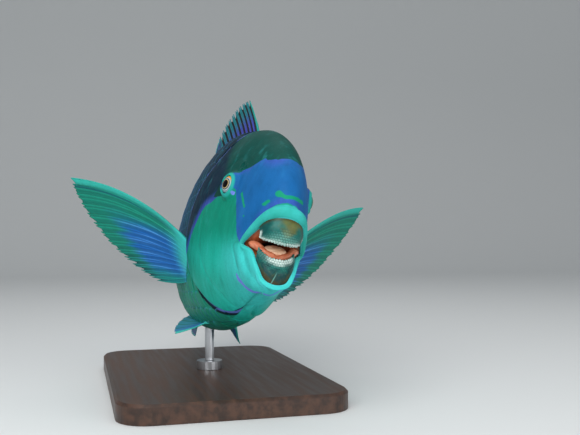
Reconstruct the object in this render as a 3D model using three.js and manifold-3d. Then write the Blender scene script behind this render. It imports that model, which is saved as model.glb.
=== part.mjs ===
// A blue-green parrotfish, life size, on a plain display stand.
// Millimetres. The snout points to -Y, the fish's left side is +X, and +Z is up.
// Fish coordinates are (x, a, z): x to the fish's left, a back from the tip of the snout,
// z up from the long axis. The fish group then tips and lifts them on to the stand.
import * as THREE from "three";
import { mergeVertices } from "three/addons/utils/BufferGeometryUtils.js";
import Module from "manifold-3d";

const wasm = await Module();
wasm.setup();

// Driving sizes
const BODY_LENGTH = 400; // snout to the root of the tail fin
const GAP = 0.3; // between touching pieces
const LEFT = 1;
const RIGHT = -1;

// Pose: the fish banks and lifts its nose, and its tail swings to its left
const BANK = THREE.MathUtils.degToRad(11);
const NOSE_UP = THREE.MathUtils.degToRad(5);
const BELLY_HEIGHT = 50; // above the floor, over the stand
const STAND_AT = 190; // how far behind the snout the stand's rod holds the fish
const STAND_DEPTH = -80; // of the belly there, under the long axis
const BEND_START = 150;
const BEND_ANGLE = THREE.MathUtils.degToRad(13);

// Body sections from the lips to the tail: where each meets the back and the belly (a, z),
// its half width, how far its sides are set back, because the snout is round, and how
// pinched its upper and lower halves are
const SECTIONS = [
  { back: [2.5, 1], belly: [8.5, -52.5], half: 17.8, setback: 22, crown: 0.94, keel: 1.3 },
  { back: [7.5, 18], belly: [19, -56], half: 21.8, setback: 17, crown: 0.93, keel: 1.15 },
  { back: [19, 35], belly: [34, -57.5], half: 24.6, setback: 11.5, crown: 0.93, keel: 1.06 },
  { back: [41, 53], belly: [58, -64.5], half: 27.8, setback: 6, crown: 0.94, keel: 1.04 },
  { back: [76, 68.5], belly: [87, -72], half: 33.2, setback: 1, crown: 0.97, keel: 1.06 },
  { back: [120, 78.5], belly: [120, -78], half: 38, setback: 0, crown: 0.98, keel: 1.05 },
  { back: [160, 83.5], belly: [160, -81.5], half: 39.5, setback: 0, crown: 0.92, keel: 1 },
  { back: [205, 80], belly: [205, -78.5], half: 38, setback: 0, crown: 0.9, keel: 0.94 },
  { back: [255, 67], belly: [255, -67.5], half: 32, setback: 0, crown: 0.93, keel: 0.94 },
  { back: [305, 50], belly: [305, -51], half: 23, setback: 0, crown: 0.97, keel: 0.97 },
  { back: [350, 34.5], belly: [350, -35.5], half: 14, setback: 0, crown: 1, keel: 1 },
  { back: [380, 29], belly: [380, -29.5], half: 9, setback: 0, crown: 1, keel: 1 },
  { back: [400, 30], belly: [400, -30], half: 6, setback: 0, crown: 1, keel: 1 },
];
const WIDEST = 0.53; // height of the widest point, as a share from the back to the belly
const GILL_FLARE = 2.4; // how far the gill covers stand out over the shoulder
const TAIL_CUT = 332; // where the torso meets the root of the tail
const COVER_THICK = 5;

// The gill opening in side view, from the back down to the throat
const GILL_EDGE = [
  [108, 100], [115, 60], [126, 34], [135, 14], [139, -6], [134, -27],
  [123, -45], [107, -58.5], [90, -65.8], [72, -66], [56, -63], [46, -70], [42, -100],
];
// The front of the gill cover, from its top down to the throat
const COVER_FRONT = [[108, 32], [101, 14], [100, -8], [98, -28], [88, -45], [72, -58], [63, -72.6]];

// Eyes
const EYE = { a: 61.5, z: 17.6, radius: 8.6, flat: 0.88, sunk: 1.6, lids: 11.4, lidsDeep: 6.6 };
const EYE_LOOK = new THREE.Vector3(0.95, -0.31, 0.05).normalize();
const NOSTRILS = [{ a: 50, z: 30, radius: 1.1 }, { a: 56, z: 33, radius: 1.4 }];

// Mouth: the lips' middle lines, from the middle of the mouth to its corner (x, a, z, radius)
const LIP_FLAT = 0.72; // how far lips stand out, as a share of their radius
const UPPER_LIP = [[0, 1.6, -4, 4.3], [8.4, 4.2, -5.6, 4.2], [14.6, 12.4, -11.4, 3.2], [20, 24.5, -21.5, 1.9]];
const LOWER_LIP = [[0, 6, -51.5, 2], [8.3, 7.7, -48.6, 1.9], [12.7, 12.3, -39.8, 1.8], [15.6, 20, -30.4, 1.7]];
const UPPER_BEAK = {
  half: 13, wrap: 12.4, root: -4.5, rootDrop: 10, edge: -24.4, edgeRise: 3.6, front: 5.4, bulge: 4.5, thick: 4.6,
};
const LOWER_BEAK = {
  half: 11.5, wrap: 10.5, root: -50, rootDrop: -11, edge: -33.4, edgeRise: 6.4, front: 9.3, bulge: 2.2, thick: 4.2,
};

const BEAK_TURN = 1.32; // how far round each side of the snout a dental plate reaches, in radians
const LINING = [[0, 15, -31.8, 2.5], [7, 16.2, -30, 2.5], [12, 19.6, -26, 2.7], [17, 25, -23.6, 2.8]];
const CAVITY = { at: [0, 17, -25], size: [12.4, 26, 9.5] };
const TONGUE = { at: [0.5, 23, -28.2], size: [9, 9, 5.2] };

// Fins
const RAY_THICK = 1.5;
const WEB_THICK = 0.7;
const TIP_THICK = 0.6;
const SINK = 5; // how far a fin's root starts inside the body, before it is cut to the skin
const PECTORAL = { rays: 14, at: 138, top: -21, bottom: -46, length: 118 };
const PECTORAL_LEAD = { [RIGHT]: [99, 35, 40], [LEFT]: [80, 35, 66] };
const PECTORAL_TRAIL = [26, 38, -4];
const SPINES = 9;
const SOFT_RAYS = 10;
const CAUDAL_RAYS = 7; // in each half of the tail fin

// Stand
const BASE = { width: 170, length: 260, height: 14, corner: 22, bevel: 2 };
const ROD_RADIUS = 4;
const FERRULE = { radius: 11, height: 7 };

const { lerp, smoothstep } = THREE.MathUtils;

// Moves a point of the straight fish to where it is with the tail swung aside.
function bent(x, a, z) {
  const span = BODY_LENGTH - BEND_START;
  const run = THREE.MathUtils.clamp(a - BEND_START, 0, span);
  const past = Math.max(a - BODY_LENGTH, 0);
  const angle = BEND_ANGLE * (run / span) ** 2;
  const drift = (BEND_ANGLE * run ** 3) / (3 * span ** 2) + past * Math.sin(angle);
  const back = a - past + past * Math.cos(angle);
  return new THREE.Vector3(drift + x * Math.cos(angle), back - x * Math.sin(angle), z);
}

const through = (points) => new THREE.CatmullRomCurve3(points, false, "catmullrom", 0.5);
const BACK = through(SECTIONS.map((s) => new THREE.Vector3(0, ...s.back)));
const BELLY = through(SECTIONS.map((s) => new THREE.Vector3(0, ...s.belly)));
const WIDTH = through(SECTIONS.map((s) => new THREE.Vector3(s.half, s.setback, 0)));
const PINCH = through(SECTIONS.map((s) => new THREE.Vector3(s.crown, s.keel, 0)));

// The section whose back is `a` behind the snout, as a share of the way along the sections.
function sectionAt(a) {
  let [low, high] = [0, 1];
  for (let i = 0; i < 40; i++) {
    const middle = (low + high) / 2;
    if (BACK.getPoint(middle).y < a) low = middle;
    else high = middle;
  }
  return low;
}

// A point of the straight body's skin: t along the sections, turn from 0 at the back round by the
// left side, PI at the belly. The gill covers flare it out if asked.
function skin(t, turn, flare = 0) {
  const back = BACK.getPoint(t);
  const belly = BELLY.getPoint(t);
  const size = WIDTH.getPoint(t);
  const pinch = PINCH.getPoint(t);
  const side = Math.sin(turn);
  const down = ((1 - Math.cos(turn)) / 2) ** (Math.log(WIDEST) / Math.log(0.5));
  const a = lerp(back.y, belly.y, down) + size.y * side * side;
  const z = lerp(back.z, belly.z, down);
  const swell = flare * smoothstep(a, 62, 132) * (1 - smoothstep(Math.abs(z + 20), 25, 68));
  const power = Math.cos(turn) > 0 ? pinch.x : pinch.y;
  const x = Math.sign(side) * Math.abs(side) ** power * (size.x + swell);
  return [x, a, z];
}

// Half the width of the straight body at a place in side view.
function halfWidth(a, z) {
  const t = sectionAt(a);
  const [top, bottom] = [BACK.getPoint(t).z, BELLY.getPoint(t).z];
  const down = ((top - z) / (top - bottom)) ** (Math.log(0.5) / Math.log(WIDEST));
  return skin(t, Math.acos(1 - 2 * THREE.MathUtils.clamp(down, 0, 1)))[0];
}

// A closed mesh from rings of points, each ring joined to the next and both ends filled.
function closedRings(rings) {
  const sides = rings[0].length;
  const vertices = rings.flat().flatMap((p) => p.toArray());
  const faces = [];
  for (let i = 0; i + 1 < rings.length; i++)
    for (let j = 0; j < sides; j++) {
      const [a, b] = [i * sides + j, i * sides + ((j + 1) % sides)];
      faces.push(a, b, a + sides, b, b + sides, a + sides);
    }
  for (const [ring, turned] of [[0, true], [rings.length - 1, false]]) {
    const middle = new THREE.Vector3();
    rings[ring].forEach((p) => middle.addScaledVector(p, 1 / sides));
    const centre = vertices.push(...middle.toArray()) / 3 - 1;
    for (let j = 0; j < sides; j++) {
      const [a, b] = [ring * sides + j, ring * sides + ((j + 1) % sides)];
      faces.push(...(turned ? [centre, b, a] : [centre, a, b]));
    }
  }
  const made = new THREE.BufferGeometry();
  made.setAttribute("position", new THREE.Float32BufferAttribute(vertices, 3));
  made.setIndex(faces);
  return made;
}

// A geometry as a solid that can be joined and cut. Faces that point in are turned round.
function solid(geometry) {
  const bare = geometry.clone();
  bare.deleteAttribute("normal");
  bare.deleteAttribute("uv");
  const merged = mergeVertices(bare, 1e-4);
  const make = (triVerts) =>
    new wasm.Manifold(
      new wasm.Mesh({ numProp: 3, vertProperties: merged.attributes.position.array, triVerts }),
    );
  const triangles = new Uint32Array(merged.index.array);
  const made = make(triangles);
  return made.volume() > 0 ? made : make(triangles.reverse());
}

// A solid moved out by `by`: each corner moves until it clears every face that meets there.
function swollen(shape, by = GAP) {
  const { vertProperties, triVerts } = shape.getMesh();
  const corner = (i) => new THREE.Vector3().fromArray(vertProperties, 3 * i);
  const normals = Array.from({ length: vertProperties.length / 3 }, () => []);
  for (let i = 0; i < triVerts.length; i += 3) {
    const [a, b, c] = triVerts.slice(i, i + 3);
    const normal = corner(b).sub(corner(a)).cross(corner(c).sub(corner(a))).normalize();
    for (const k of [a, b, c]) normals[k].push(normal);
  }
  const moved = vertProperties.slice();
  normals.forEach((around, i) => {
    const move = new THREE.Vector3();
    for (let pass = 0; pass < 8; pass++)
      for (const normal of around) move.addScaledVector(normal, Math.max(0, by - normal.dot(move)));
    moved.set(corner(i).add(move).toArray(), 3 * i);
  });
  return new wasm.Manifold(new wasm.Mesh({ numProp: 3, vertProperties: moved, triVerts }));
}

// The largest closed piece of a solid.
function largest(shape) {
  return shape.decompose().reduce((best, piece) => (piece.volume() > best.volume() ? piece : best));
}

function cut(shape, ...others) {
  return others.reduce((left, other) => left.subtract(other), shape);
}

// The body between two sections.
function bodyBetween(from, to, { flare = 0, rings = 36, sides = 32 } = {}) {
  const made = [];
  for (let i = 0; i <= rings; i++) {
    const t = lerp(from, to, i / rings);
    made.push(
      Array.from({ length: sides }, (_, j) => bent(...skin(t, (2 * Math.PI * j) / sides, flare))),
    );
  }
  return solid(closedRings(made));
}

// A block whose outline in side view runs smoothly down one edge and back up another.
function sideBlock(down, up, half) {
  const smooth = (edge) =>
    new THREE.CatmullRomCurve3(edge.map(([a, z]) => new THREE.Vector3(a, z, 0))).getPoints(edge.length * 2);
  const outline = new THREE.Shape([...smooth(down), ...smooth(up)].map((p) => new THREE.Vector2(p.x, p.y)));
  const block = new THREE.ExtrudeGeometry(outline, { depth: 2 * half, bevelEnabled: false });
  const place = new THREE.Matrix4().set(0, 0, 1, -half, 1, 0, 0, 0, 0, 1, 0, 0, 0, 0, 0, 1);
  return solid(block.applyMatrix4(place));
}

const shifted = (edge, back) => edge.map(([a, z]) => [a + back, z]);

// A tube along a curve, with its own radius at each point and rounded ends.
function tube(points, { steps = 22, sides = 8, flat = 1 } = {}) {
  const line = through(points.map(([x, a, z]) => new THREE.Vector3(x, a, z)));
  const radii = through(points.map((p) => new THREE.Vector3(p[3], 0, 0)));
  const rings = [];
  for (let i = 0; i <= steps; i++) {
    const along = i / steps;
    const round = Math.sqrt(1 - Math.max(0, Math.abs(2 * along - 1) * 1.04 - 0.06) ** 14);
    const radius = radii.getPoint(along).x * Math.max(round, 0.25);
    const ahead = line.getTangent(along);
    const out = new THREE.Vector3(0, -1, 0).addScaledVector(ahead, ahead.y).normalize();
    const across = new THREE.Vector3().crossVectors(ahead, out);
    const centre = line.getPoint(along);
    rings.push(
      Array.from({ length: sides }, (_, j) => {
        const turn = (2 * Math.PI * j) / sides;
        return centre
          .clone()
          .addScaledVector(out, radius * flat * Math.cos(turn))
          .addScaledVector(across, radius * Math.sin(turn));
      }),
    );
  }
  return solid(closedRings(rings));
}

// A row of points from the middle of the mouth to its corner, carried on to the other corner.
const bothSides = (half) => [...half.slice(1).reverse().map(([x, ...rest]) => [-x, ...rest]), ...half];

// A closed plate from a grid of points: both faces are split alike and joined round the rim.
function plate(columns, rows, point, thickness) {
  const middle = [];
  for (let i = 0; i <= columns; i++)
    middle.push(Array.from({ length: rows + 1 }, (_, j) => point(i / columns, j / rows)));
  const clampTo = (n, top) => Math.min(Math.max(n, 0), top);
  const normal = (i, j) => {
    const across = middle[clampTo(i + 1, columns)][j].clone().sub(middle[clampTo(i - 1, columns)][j]);
    const along = middle[i][clampTo(j + 1, rows)].clone().sub(middle[i][clampTo(j - 1, rows)]);
    return across.cross(along).normalize();
  };
  const vertices = [];
  for (const face of [0.5, -0.5])
    for (let i = 0; i <= columns; i++)
      for (let j = 0; j <= rows; j++)
        vertices.push(
          ...middle[i][j].clone().addScaledVector(normal(i, j), face * thickness(i / columns, j / rows)).toArray(),
        );
  const index = (face, i, j) => (face * (columns + 1) + i) * (rows + 1) + j;
  const faces = [];
  for (let i = 0; i < columns; i++)
    for (let j = 0; j < rows; j++)
      for (const face of [0, 1]) {
        const [a, b, c, d] = [index(face, i, j), index(face, i + 1, j), index(face, i + 1, j + 1), index(face, i, j + 1)];
        faces.push(...(face ? [a, c, b, a, d, c] : [a, b, c, a, c, d]));
      }
  const rim = [];
  for (let i = 0; i < columns; i++) rim.push([i, 0]);
  for (let j = 0; j < rows; j++) rim.push([columns, j]);
  for (let i = columns; i > 0; i--) rim.push([i, rows]);
  for (let j = rows; j > 0; j--) rim.push([0, j]);
  rim.forEach(([i, j], k) => {
    const [m, n] = rim[(k + 1) % rim.length];
    faces.push(index(0, m, n), index(0, i, j), index(1, i, j), index(0, m, n), index(1, i, j), index(1, m, n));
  });
  const made = new THREE.BufferGeometry();
  made.setAttribute("position", new THREE.Float32BufferAttribute(vertices, 3));
  made.setIndex(faces);
  return solid(made);
}

// A fin from its rays, each a curve from root to tip. The rays are ridges on the web between them.
function fin(rays, { rows = 6, notch = 0.06, rayThick = RAY_THICK, rootThick = rayThick } = {}) {
  const columns = 2 * (rays.length - 1);
  const point = (across, along) => {
    const column = Math.round(across * columns);
    const ray = rays[Math.floor(column / 2)];
    if (column % 2 === 0) return bent(...ray.getPoint(along).toArray());
    const reach = along * (1 - notch);
    const between = ray.getPoint(reach).lerp(rays[Math.floor(column / 2) + 1].getPoint(reach), 0.5);
    return bent(...between.toArray());
  };
  const thickness = (across, along) => {
    const web = Math.round(across * columns) % 2 === 1;
    const middle = web ? WEB_THICK : lerp(rayThick, TIP_THICK, along);
    return Math.max(middle, lerp(rootThick, 0, smoothstep(along, 0.02, 0.3)));
  };
  return plate(columns, rows, point, thickness);
}

const ray = (root, reach, bow = [0, 0, 0]) => {
  const start = new THREE.Vector3(...root);
  const tip = start.clone().add(new THREE.Vector3(...reach));
  const middle = start.clone().lerp(tip, 0.5).add(new THREE.Vector3(...bow));
  return new THREE.QuadraticBezierCurve3(start, middle, tip);
};

// Head and body
const HEAD_REGION = sideBlock(GILL_EDGE, [[-30, -100], [-30, 0], [-30, 100]], 80);
const TORSO_END = sectionAt(TAIL_CUT);
const BODY_ROOM = swollen(bodyBetween(0, 1, { rings: 44 }));

function eyeCentre(side) {
  return new THREE.Vector3(side * (halfWidth(EYE.a, EYE.z) - EYE.sunk), EYE.a, EYE.z);
}

// A shape round +Z, turned to face the way an eye looks and set at its centre.
function lookingOut(shape, side) {
  const look = EYE_LOOK.clone().multiply(new THREE.Vector3(side, 1, 1));
  shape.applyQuaternion(new THREE.Quaternion().setFromUnitVectors(new THREE.Vector3(0, 0, 1), look));
  return solid(shape.translate(...eyeCentre(side).toArray()));
}

function eyeball(side) {
  return lookingOut(new THREE.SphereGeometry(EYE.radius, 16, 10).scale(1, 1, EYE.flat), side);
}

// The fleshy mound of lids round an eye.
function eyelids(side) {
  return lookingOut(new THREE.SphereGeometry(1, 20, 12).scale(EYE.lids, EYE.lids, EYE.lidsDeep), side);
}

function nostril(side, { a, z, radius }) {
  return solid(new THREE.SphereGeometry(radius, 8, 6).translate(side * halfWidth(a, z), a, z));
}

// A dental plate: a curved shell from its root in the flesh to its cutting edge.
function beak(size) {
  const point = (across, along) => {
    const u = 2 * across - 1;
    const turn = u * BEAK_TURN;
    const narrow = lerp(0.94, 1, along);
    return new THREE.Vector3(
      (size.half * narrow * Math.sin(turn)) / Math.sin(BEAK_TURN),
      size.front - size.bulge * Math.sin(Math.PI * (0.1 + 0.72 * along)) + size.wrap * (1 - Math.cos(turn)),
      lerp(size.root - size.rootDrop * u * u, size.edge + size.edgeRise * u * u, along),
    );
  };
  return plate(14, 7, point, (across, along) => lerp(size.thick, 1.4, along * along));
}

function ellipsoid({ at: [x, a, z], size }) {
  return solid(new THREE.SphereGeometry(1, 16, 12).scale(...size).translate(x, a, z));
}

// The mouth's pieces, in the order that each gives way to the ones before it
const MOUTH = {
  upper_beak: beak(UPPER_BEAK),
  lower_beak: beak(LOWER_BEAK),
  upper_lip: tube(bothSides(UPPER_LIP), { flat: LIP_FLAT }),
  lower_lip: tube(bothSides(LOWER_LIP), { flat: LIP_FLAT }),
  mouth_lining: tube(bothSides(LINING)),
  tongue: ellipsoid(TONGUE),
};

function headParts() {
  const half = (side) => solid(new THREE.BoxGeometry(100, 400, 400).translate(side * (50 + GAP / 2), 100, 0));
  const inner = (sink) => swollen(bodyBetween(0, sectionAt(152), { rings: 20, sides: 28 }), -sink);
  const whole = bodyBetween(0, sectionAt(150), { flare: GILL_FLARE, rings: 20, sides: 36 }).intersect(HEAD_REGION);
  const coverRegion = sideBlock(COVER_FRONT, [[66, -110], [150, -110], [160, 0], [140, 36]], 80);
  const covers = whole.intersect(coverRegion).subtract(inner(COVER_THICK));
  const holes = [LEFT, RIGHT].flatMap((side) => NOSTRILS.map((spot) => nostril(side, spot)));
  const head = cut(
    whole.subtract(swollen(coverRegion).subtract(inner(COVER_THICK + GAP))).add(eyelids(LEFT)).add(eyelids(RIGHT)),
    ...[LEFT, RIGHT].map((side) => swollen(eyeball(side))),
    ...holes,
    ellipsoid(CAVITY),
    ...Object.values(MOUTH).map((piece) => swollen(piece)),
  );
  return { head, gill_cover_left: covers.intersect(half(LEFT)), gill_cover_right: covers.intersect(half(RIGHT)) };
}

function pectoralFin(side) {
  const lead = new THREE.Vector3(...PECTORAL_LEAD[side]);
  const trail = new THREE.Vector3(...PECTORAL_TRAIL);
  const rays = [];
  for (let k = 0; k < PECTORAL.rays; k++) {
    const down = k / (PECTORAL.rays - 1);
    const z = lerp(PECTORAL.top, PECTORAL.bottom, down);
    const at = PECTORAL.at + 4 * down;
    const length = PECTORAL.length * lerp(1, 0.36, down ** 1.35);
    const reach = lead.clone().normalize().lerp(trail.clone().normalize(), down).setLength(length);
    const rise = 22 * (1 - 1.2 * down);
    rays.push(ray([side * (halfWidth(at, z) - SINK), at, z], [side * reach.x, reach.y, reach.z], [0, -5 * (1 - down), rise]));
  }
  return fin(rays, { rootThick: 7, notch: 0.03 });
}

function pelvicFin(side) {
  const rays = [];
  for (let k = 0; k < 6; k++) {
    const inward = k / 5;
    const length = lerp(44, 68, Math.sin(Math.PI * Math.min(1, 0.12 + inward * 0.62)));
    const reach = new THREE.Vector3(lerp(13, 9, inward), lerp(35, 46, inward), lerp(-10, 3, inward)).setLength(length);
    rays.push(ray([side * lerp(11, 5, inward), lerp(139, 147, inward), -76], [side * reach.x, reach.y, reach.z - 1], [0, 0, -2]));
  }
  return fin(rays, { rows: 5, rootThick: 4 });
}

function dorsalFins() {
  const spines = [];
  for (let k = 0; k <= SPINES; k++) {
    const along = k / SPINES;
    const a = lerp(120, 233, along);
    const lean = lerp(6, 10, along);
    const back = lerp(33, 26, along);
    spines.push(ray([0, a, BACK.getPoint(sectionAt(a)).z - SINK], [-lean, back, lerp(35, 32, along) + SINK], [0, -3, 2]));
  }
  const soft = [];
  for (let k = 0; k <= SOFT_RAYS; k++) {
    const along = k / SOFT_RAYS;
    const a = lerp(234.2, 350, along);
    const height = lerp(32, 24, along) + 4 * Math.sin(Math.PI * along);
    soft.push(ray([0, a, BACK.getPoint(sectionAt(a)).z - SINK], [-lerp(10, 3, along), lerp(26, 34, along), height + SINK], [0, -3, 1]));
  }
  return { spiny: fin(spines, { rows: 5, notch: 0.1 }), soft: fin(soft, { rows: 5 }) };
}

function analFin() {
  const rays = [];
  for (let k = 0; k < 12; k++) {
    const along = k / 11;
    const a = lerp(250, 345, along);
    const drop = lerp(22, 32, Math.min(1, along * 3)) - 8 * along;
    rays.push(ray([0, a, BELLY.getPoint(sectionAt(a)).z + SINK], [1, lerp(16, 30, along), -drop - SINK], [0, -2, -1]));
  }
  return fin(rays, { rows: 5 });
}

// Half of the crescent tail fin: its outer rays run out into a long lobe.
function caudalFin(up) {
  const rays = [];
  for (let k = 0; k < CAUDAL_RAYS; k++) {
    const inward = k / (CAUDAL_RAYS - 1);
    const reach = lerp(62, 104, (1 - inward) ** 2.2);
    const spread = lerp(0.3, 74, (1 - inward) ** 0.9);
    const root = lerp(0.3, 26, 1 - inward);
    rays.push(ray([0, 393 + 4 * inward, up * root], [0, reach, up * (spread - root)], [0, 4, up * 5 * (1 - inward)]));
  }
  return fin(rays, { rootThick: 5 });
}

// Stand: its rod is cut where it meets the belly
function standBase() {
  const { width, length, height, corner, bevel } = BASE;
  const outline = new THREE.Shape();
  const [x, y] = [width / 2 - bevel, length / 2 - bevel];
  outline.moveTo(-x + corner, -y);
  outline.lineTo(x - corner, -y).absarc(x - corner, -y + corner, corner, -Math.PI / 2, 0);
  outline.lineTo(x, y - corner).absarc(x - corner, y - corner, corner, 0, Math.PI / 2);
  outline.lineTo(-x + corner, y).absarc(-x + corner, y - corner, corner, Math.PI / 2, Math.PI);
  outline.lineTo(-x, -y + corner).absarc(-x + corner, -y + corner, corner, Math.PI, 1.5 * Math.PI);
  const block = new THREE.ExtrudeGeometry(outline, {
    depth: height - bevel,
    bevelSize: bevel,
    bevelThickness: bevel,
    bevelSegments: 1,
    curveSegments: 6,
  });
  const floor = solid(new THREE.BoxGeometry(2 * width, 2 * length, 20).translate(0, 0, -10));
  return solid(block).subtract(floor);
}

function cylinder(radius, low, high, sides = 24) {
  const made = new THREE.CylinderGeometry(radius, radius, high - low, sides);
  return solid(made.rotateX(Math.PI / 2).translate(0, 0, (low + high) / 2));
}

// The fish stands over the rod, tipped about the point of its belly that the rod holds.
const pose = new THREE.Object3D();
pose.rotation.set(-NOSE_UP, BANK, 0, "YXZ");
pose.updateMatrix();
pose.position.copy(
  new THREE.Vector3(0, STAND_AT, STAND_DEPTH)
    .applyMatrix4(pose.matrix)
    .negate()
    .add(new THREE.Vector3(0, 0, BELLY_HEIGHT)),
);
pose.updateMatrix();
const posedBody = BODY_ROOM.transform(pose.matrix.toArray());

// Colours
const colour = {
  skin: { color: "#2ba893", roughness: 0.45 },
  flank: { color: "#1f8f96", roughness: 0.45 },
  lip: { color: "#55d6c4", roughness: 0.4 },
  beak: { color: "#2b7f78", roughness: 0.25 },
  lining: { color: "#c8643c", roughness: 0.4 },
  eye: { color: "#d9b25a", roughness: 0.1 },
  fin: { color: "#2b8fb5", roughness: 0.5 },
  wood: { color: "#3a2a20", roughness: 0.5 },
  steel: { color: "#b8bcc0", roughness: 0.3, metalness: 1 },
};

const fish = new THREE.Group();
const stand = new THREE.Group();

function add(group, name, shape, look) {
  const { vertProperties, triVerts } = largest(shape).getMesh();
  const geometry = new THREE.BufferGeometry();
  geometry.setAttribute("position", new THREE.BufferAttribute(vertProperties, 3));
  geometry.setIndex(new THREE.BufferAttribute(triVerts, 1));
  geometry.computeVertexNormals();
  const mesh = new THREE.Mesh(geometry, new THREE.MeshStandardMaterial(colour[look]));
  mesh.name = name;
  group.add(mesh);
}

for (const [name, shape] of Object.entries(headParts())) add(fish, name, shape, "skin");
const looks = ["beak", "beak", "lip", "lip", "lining", "lining"];
Object.entries(MOUTH).forEach(([name, shape], i) => {
  const before = Object.values(MOUTH).slice(0, i);
  add(fish, name, cut(shape, ...before.map((piece) => swollen(piece))), looks[i]);
});
add(fish, "eye_left", eyeball(LEFT), "eye");
add(fish, "eye_right", eyeball(RIGHT), "eye");

const HEAD_ROOM = swollen(HEAD_REGION);
add(fish, "torso", cut(bodyBetween(sectionAt(24), TORSO_END, { rings: 26 }), HEAD_ROOM), "flank");
add(fish, "tail_base", bodyBetween(sectionAt(TAIL_CUT + GAP), 1, { rings: 8 }), "flank");
for (const [side, word] of [[LEFT, "left"], [RIGHT, "right"]]) {
  add(fish, "pectoral_fin_" + word, cut(pectoralFin(side), BODY_ROOM, HEAD_ROOM), "fin");
  add(fish, "pelvic_fin_" + word, cut(pelvicFin(side), BODY_ROOM), "fin");
}
const dorsal = dorsalFins();
add(fish, "dorsal_fin_spiny", cut(dorsal.spiny, BODY_ROOM), "fin");
add(fish, "dorsal_fin_soft", cut(dorsal.soft, BODY_ROOM), "fin");
add(fish, "anal_fin", cut(analFin(), BODY_ROOM), "fin");
add(fish, "tail_fin_upper", cut(caudalFin(1), BODY_ROOM), "fin");
add(fish, "tail_fin_lower", cut(caudalFin(-1), BODY_ROOM), "fin");

fish.rotation.copy(pose.rotation);
fish.position.copy(pose.position);

const FERRULE_TOP = BASE.height + GAP + FERRULE.height;
add(stand, "stand_base", standBase(), "wood");
add(stand, "stand_ferrule", cylinder(FERRULE.radius, BASE.height + GAP, FERRULE_TOP), "steel");
add(stand, "stand_rod", cut(cylinder(ROD_RADIUS, FERRULE_TOP + GAP, 2 * BELLY_HEIGHT, 16), posedBody), "steel");

const model = new THREE.Group();
model.add(fish, stand);
export default model;
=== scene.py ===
"""The looks of a life-size blue-green parrotfish, open-mouthed with its fins spread, on a plain stand."""

import math

import bpy
import numpy as np
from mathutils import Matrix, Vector


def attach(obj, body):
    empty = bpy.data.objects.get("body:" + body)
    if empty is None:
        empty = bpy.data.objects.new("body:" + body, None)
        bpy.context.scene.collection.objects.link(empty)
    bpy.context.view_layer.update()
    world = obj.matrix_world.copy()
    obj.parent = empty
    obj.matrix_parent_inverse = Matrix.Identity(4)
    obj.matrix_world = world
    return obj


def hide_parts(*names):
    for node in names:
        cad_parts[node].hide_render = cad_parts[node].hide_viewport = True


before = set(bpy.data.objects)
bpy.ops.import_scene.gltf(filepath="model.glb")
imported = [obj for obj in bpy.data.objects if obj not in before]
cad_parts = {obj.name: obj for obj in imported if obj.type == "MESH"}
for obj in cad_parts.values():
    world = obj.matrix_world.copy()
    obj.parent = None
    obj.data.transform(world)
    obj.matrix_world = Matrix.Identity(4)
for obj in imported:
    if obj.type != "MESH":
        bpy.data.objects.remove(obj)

# Sizes of the fish, in millimetres. Fish coordinates are (x, a, z): x to its left, a back from
# the tip of its snout, z up from its long axis.
BODY_LENGTH = 400
BANK = math.radians(11)
NOSE_UP = math.radians(5)
HELD_AT = np.array([0.0, 190.0, -80.0])
BELLY_HEIGHT = 50
BEND_START = 150
BEND_ANGLE = math.radians(13)
RIGHT, LEFT = -1, 1

# Body sections: back (a, z), belly (a, z), half width, setback of the sides, pinch above and below
SECTIONS = np.array([
    [2.5, 1, 8.5, -52.5, 17.8, 22, 0.94, 1.3],
    [7.5, 18, 19, -56, 21.8, 17, 0.93, 1.15],
    [19, 35, 34, -57.5, 24.6, 11.5, 0.93, 1.06],
    [41, 53, 58, -64.5, 27.8, 6, 0.94, 1.04],
    [76, 68.5, 87, -72, 33.2, 1, 0.97, 1.06],
    [120, 78.5, 120, -78, 38, 0, 0.98, 1.05],
    [160, 83.5, 160, -81.5, 39.5, 0, 0.92, 1],
    [205, 80, 205, -78.5, 38, 0, 0.9, 0.94],
    [255, 67, 255, -67.5, 32, 0, 0.93, 0.94],
    [305, 50, 305, -51, 23, 0, 0.97, 0.97],
    [350, 34.5, 350, -35.5, 14, 0, 1, 1],
    [380, 29, 380, -29.5, 9, 0, 1, 1],
    [400, 30, 400, -30, 6, 0, 1, 1],
])
WIDEST = 0.53
GILL_FLARE = 2.4
GILL_EDGE = [
    (108, 100), (115, 60), (126, 34), (135, 14), (139, -6), (134, -27),
    (123, -45), (107, -58.5), (90, -65.8), (72, -66), (56, -63), (46, -70), (42, -100),
]
# The same opening from below (distance from the middle, a)
GILL_UNDER = [(0, 47), (3, 51), (5, 61), (7.5, 75), (11, 84), (15.5, 92), (19.4, 98.5), (24, 106), (31, 115)]
COVER_FRONT = [(108, 32), (101, 14), (100, -8), (98, -28), (88, -45), (72, -58), (63, -72.6)]
EYE_A, EYE_Z, EYE_RADIUS, EYE_SUNK = 61.5, 17.6, 8.6, 1.6
EYE_FLAT = 0.88
EYE_AXIS = np.array([0.95, -0.31, 0.05])
EYE_LOOK = EYE_AXIS / np.linalg.norm(EYE_AXIS)
IRIS_LOOK = {RIGHT: np.array([-0.9, -0.43, 0.05]), LEFT: np.array([0.95, 0.25, 0.08])}
LIDS_WIDE, LIDS_DEEP = 11.4, 7.6
LIDS_OPEN = {RIGHT: 7.0, LEFT: 5.8}
LIDS_REACH = 16
# Nostrils (a, z, radius)
NOSTRILS = [(50, 30, 1.1), (56, 33, 1.4)]
# Grooves of the skin in side view: points (a, z), depth and half width
FOLDS = [
    ([(30, -24), (36, -23.5), (39.8, -26), (38.8, -31), (37.4, -35), (36.6, -40)], 0.6, 2.2),
    ([(44, 32), (54, 38), (66, 40), (78, 35)], 0.4, 2.4),
]
# The fold under the head where one gill cover laps over the other (x)
THROAT_FOLD = -4.2
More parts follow.
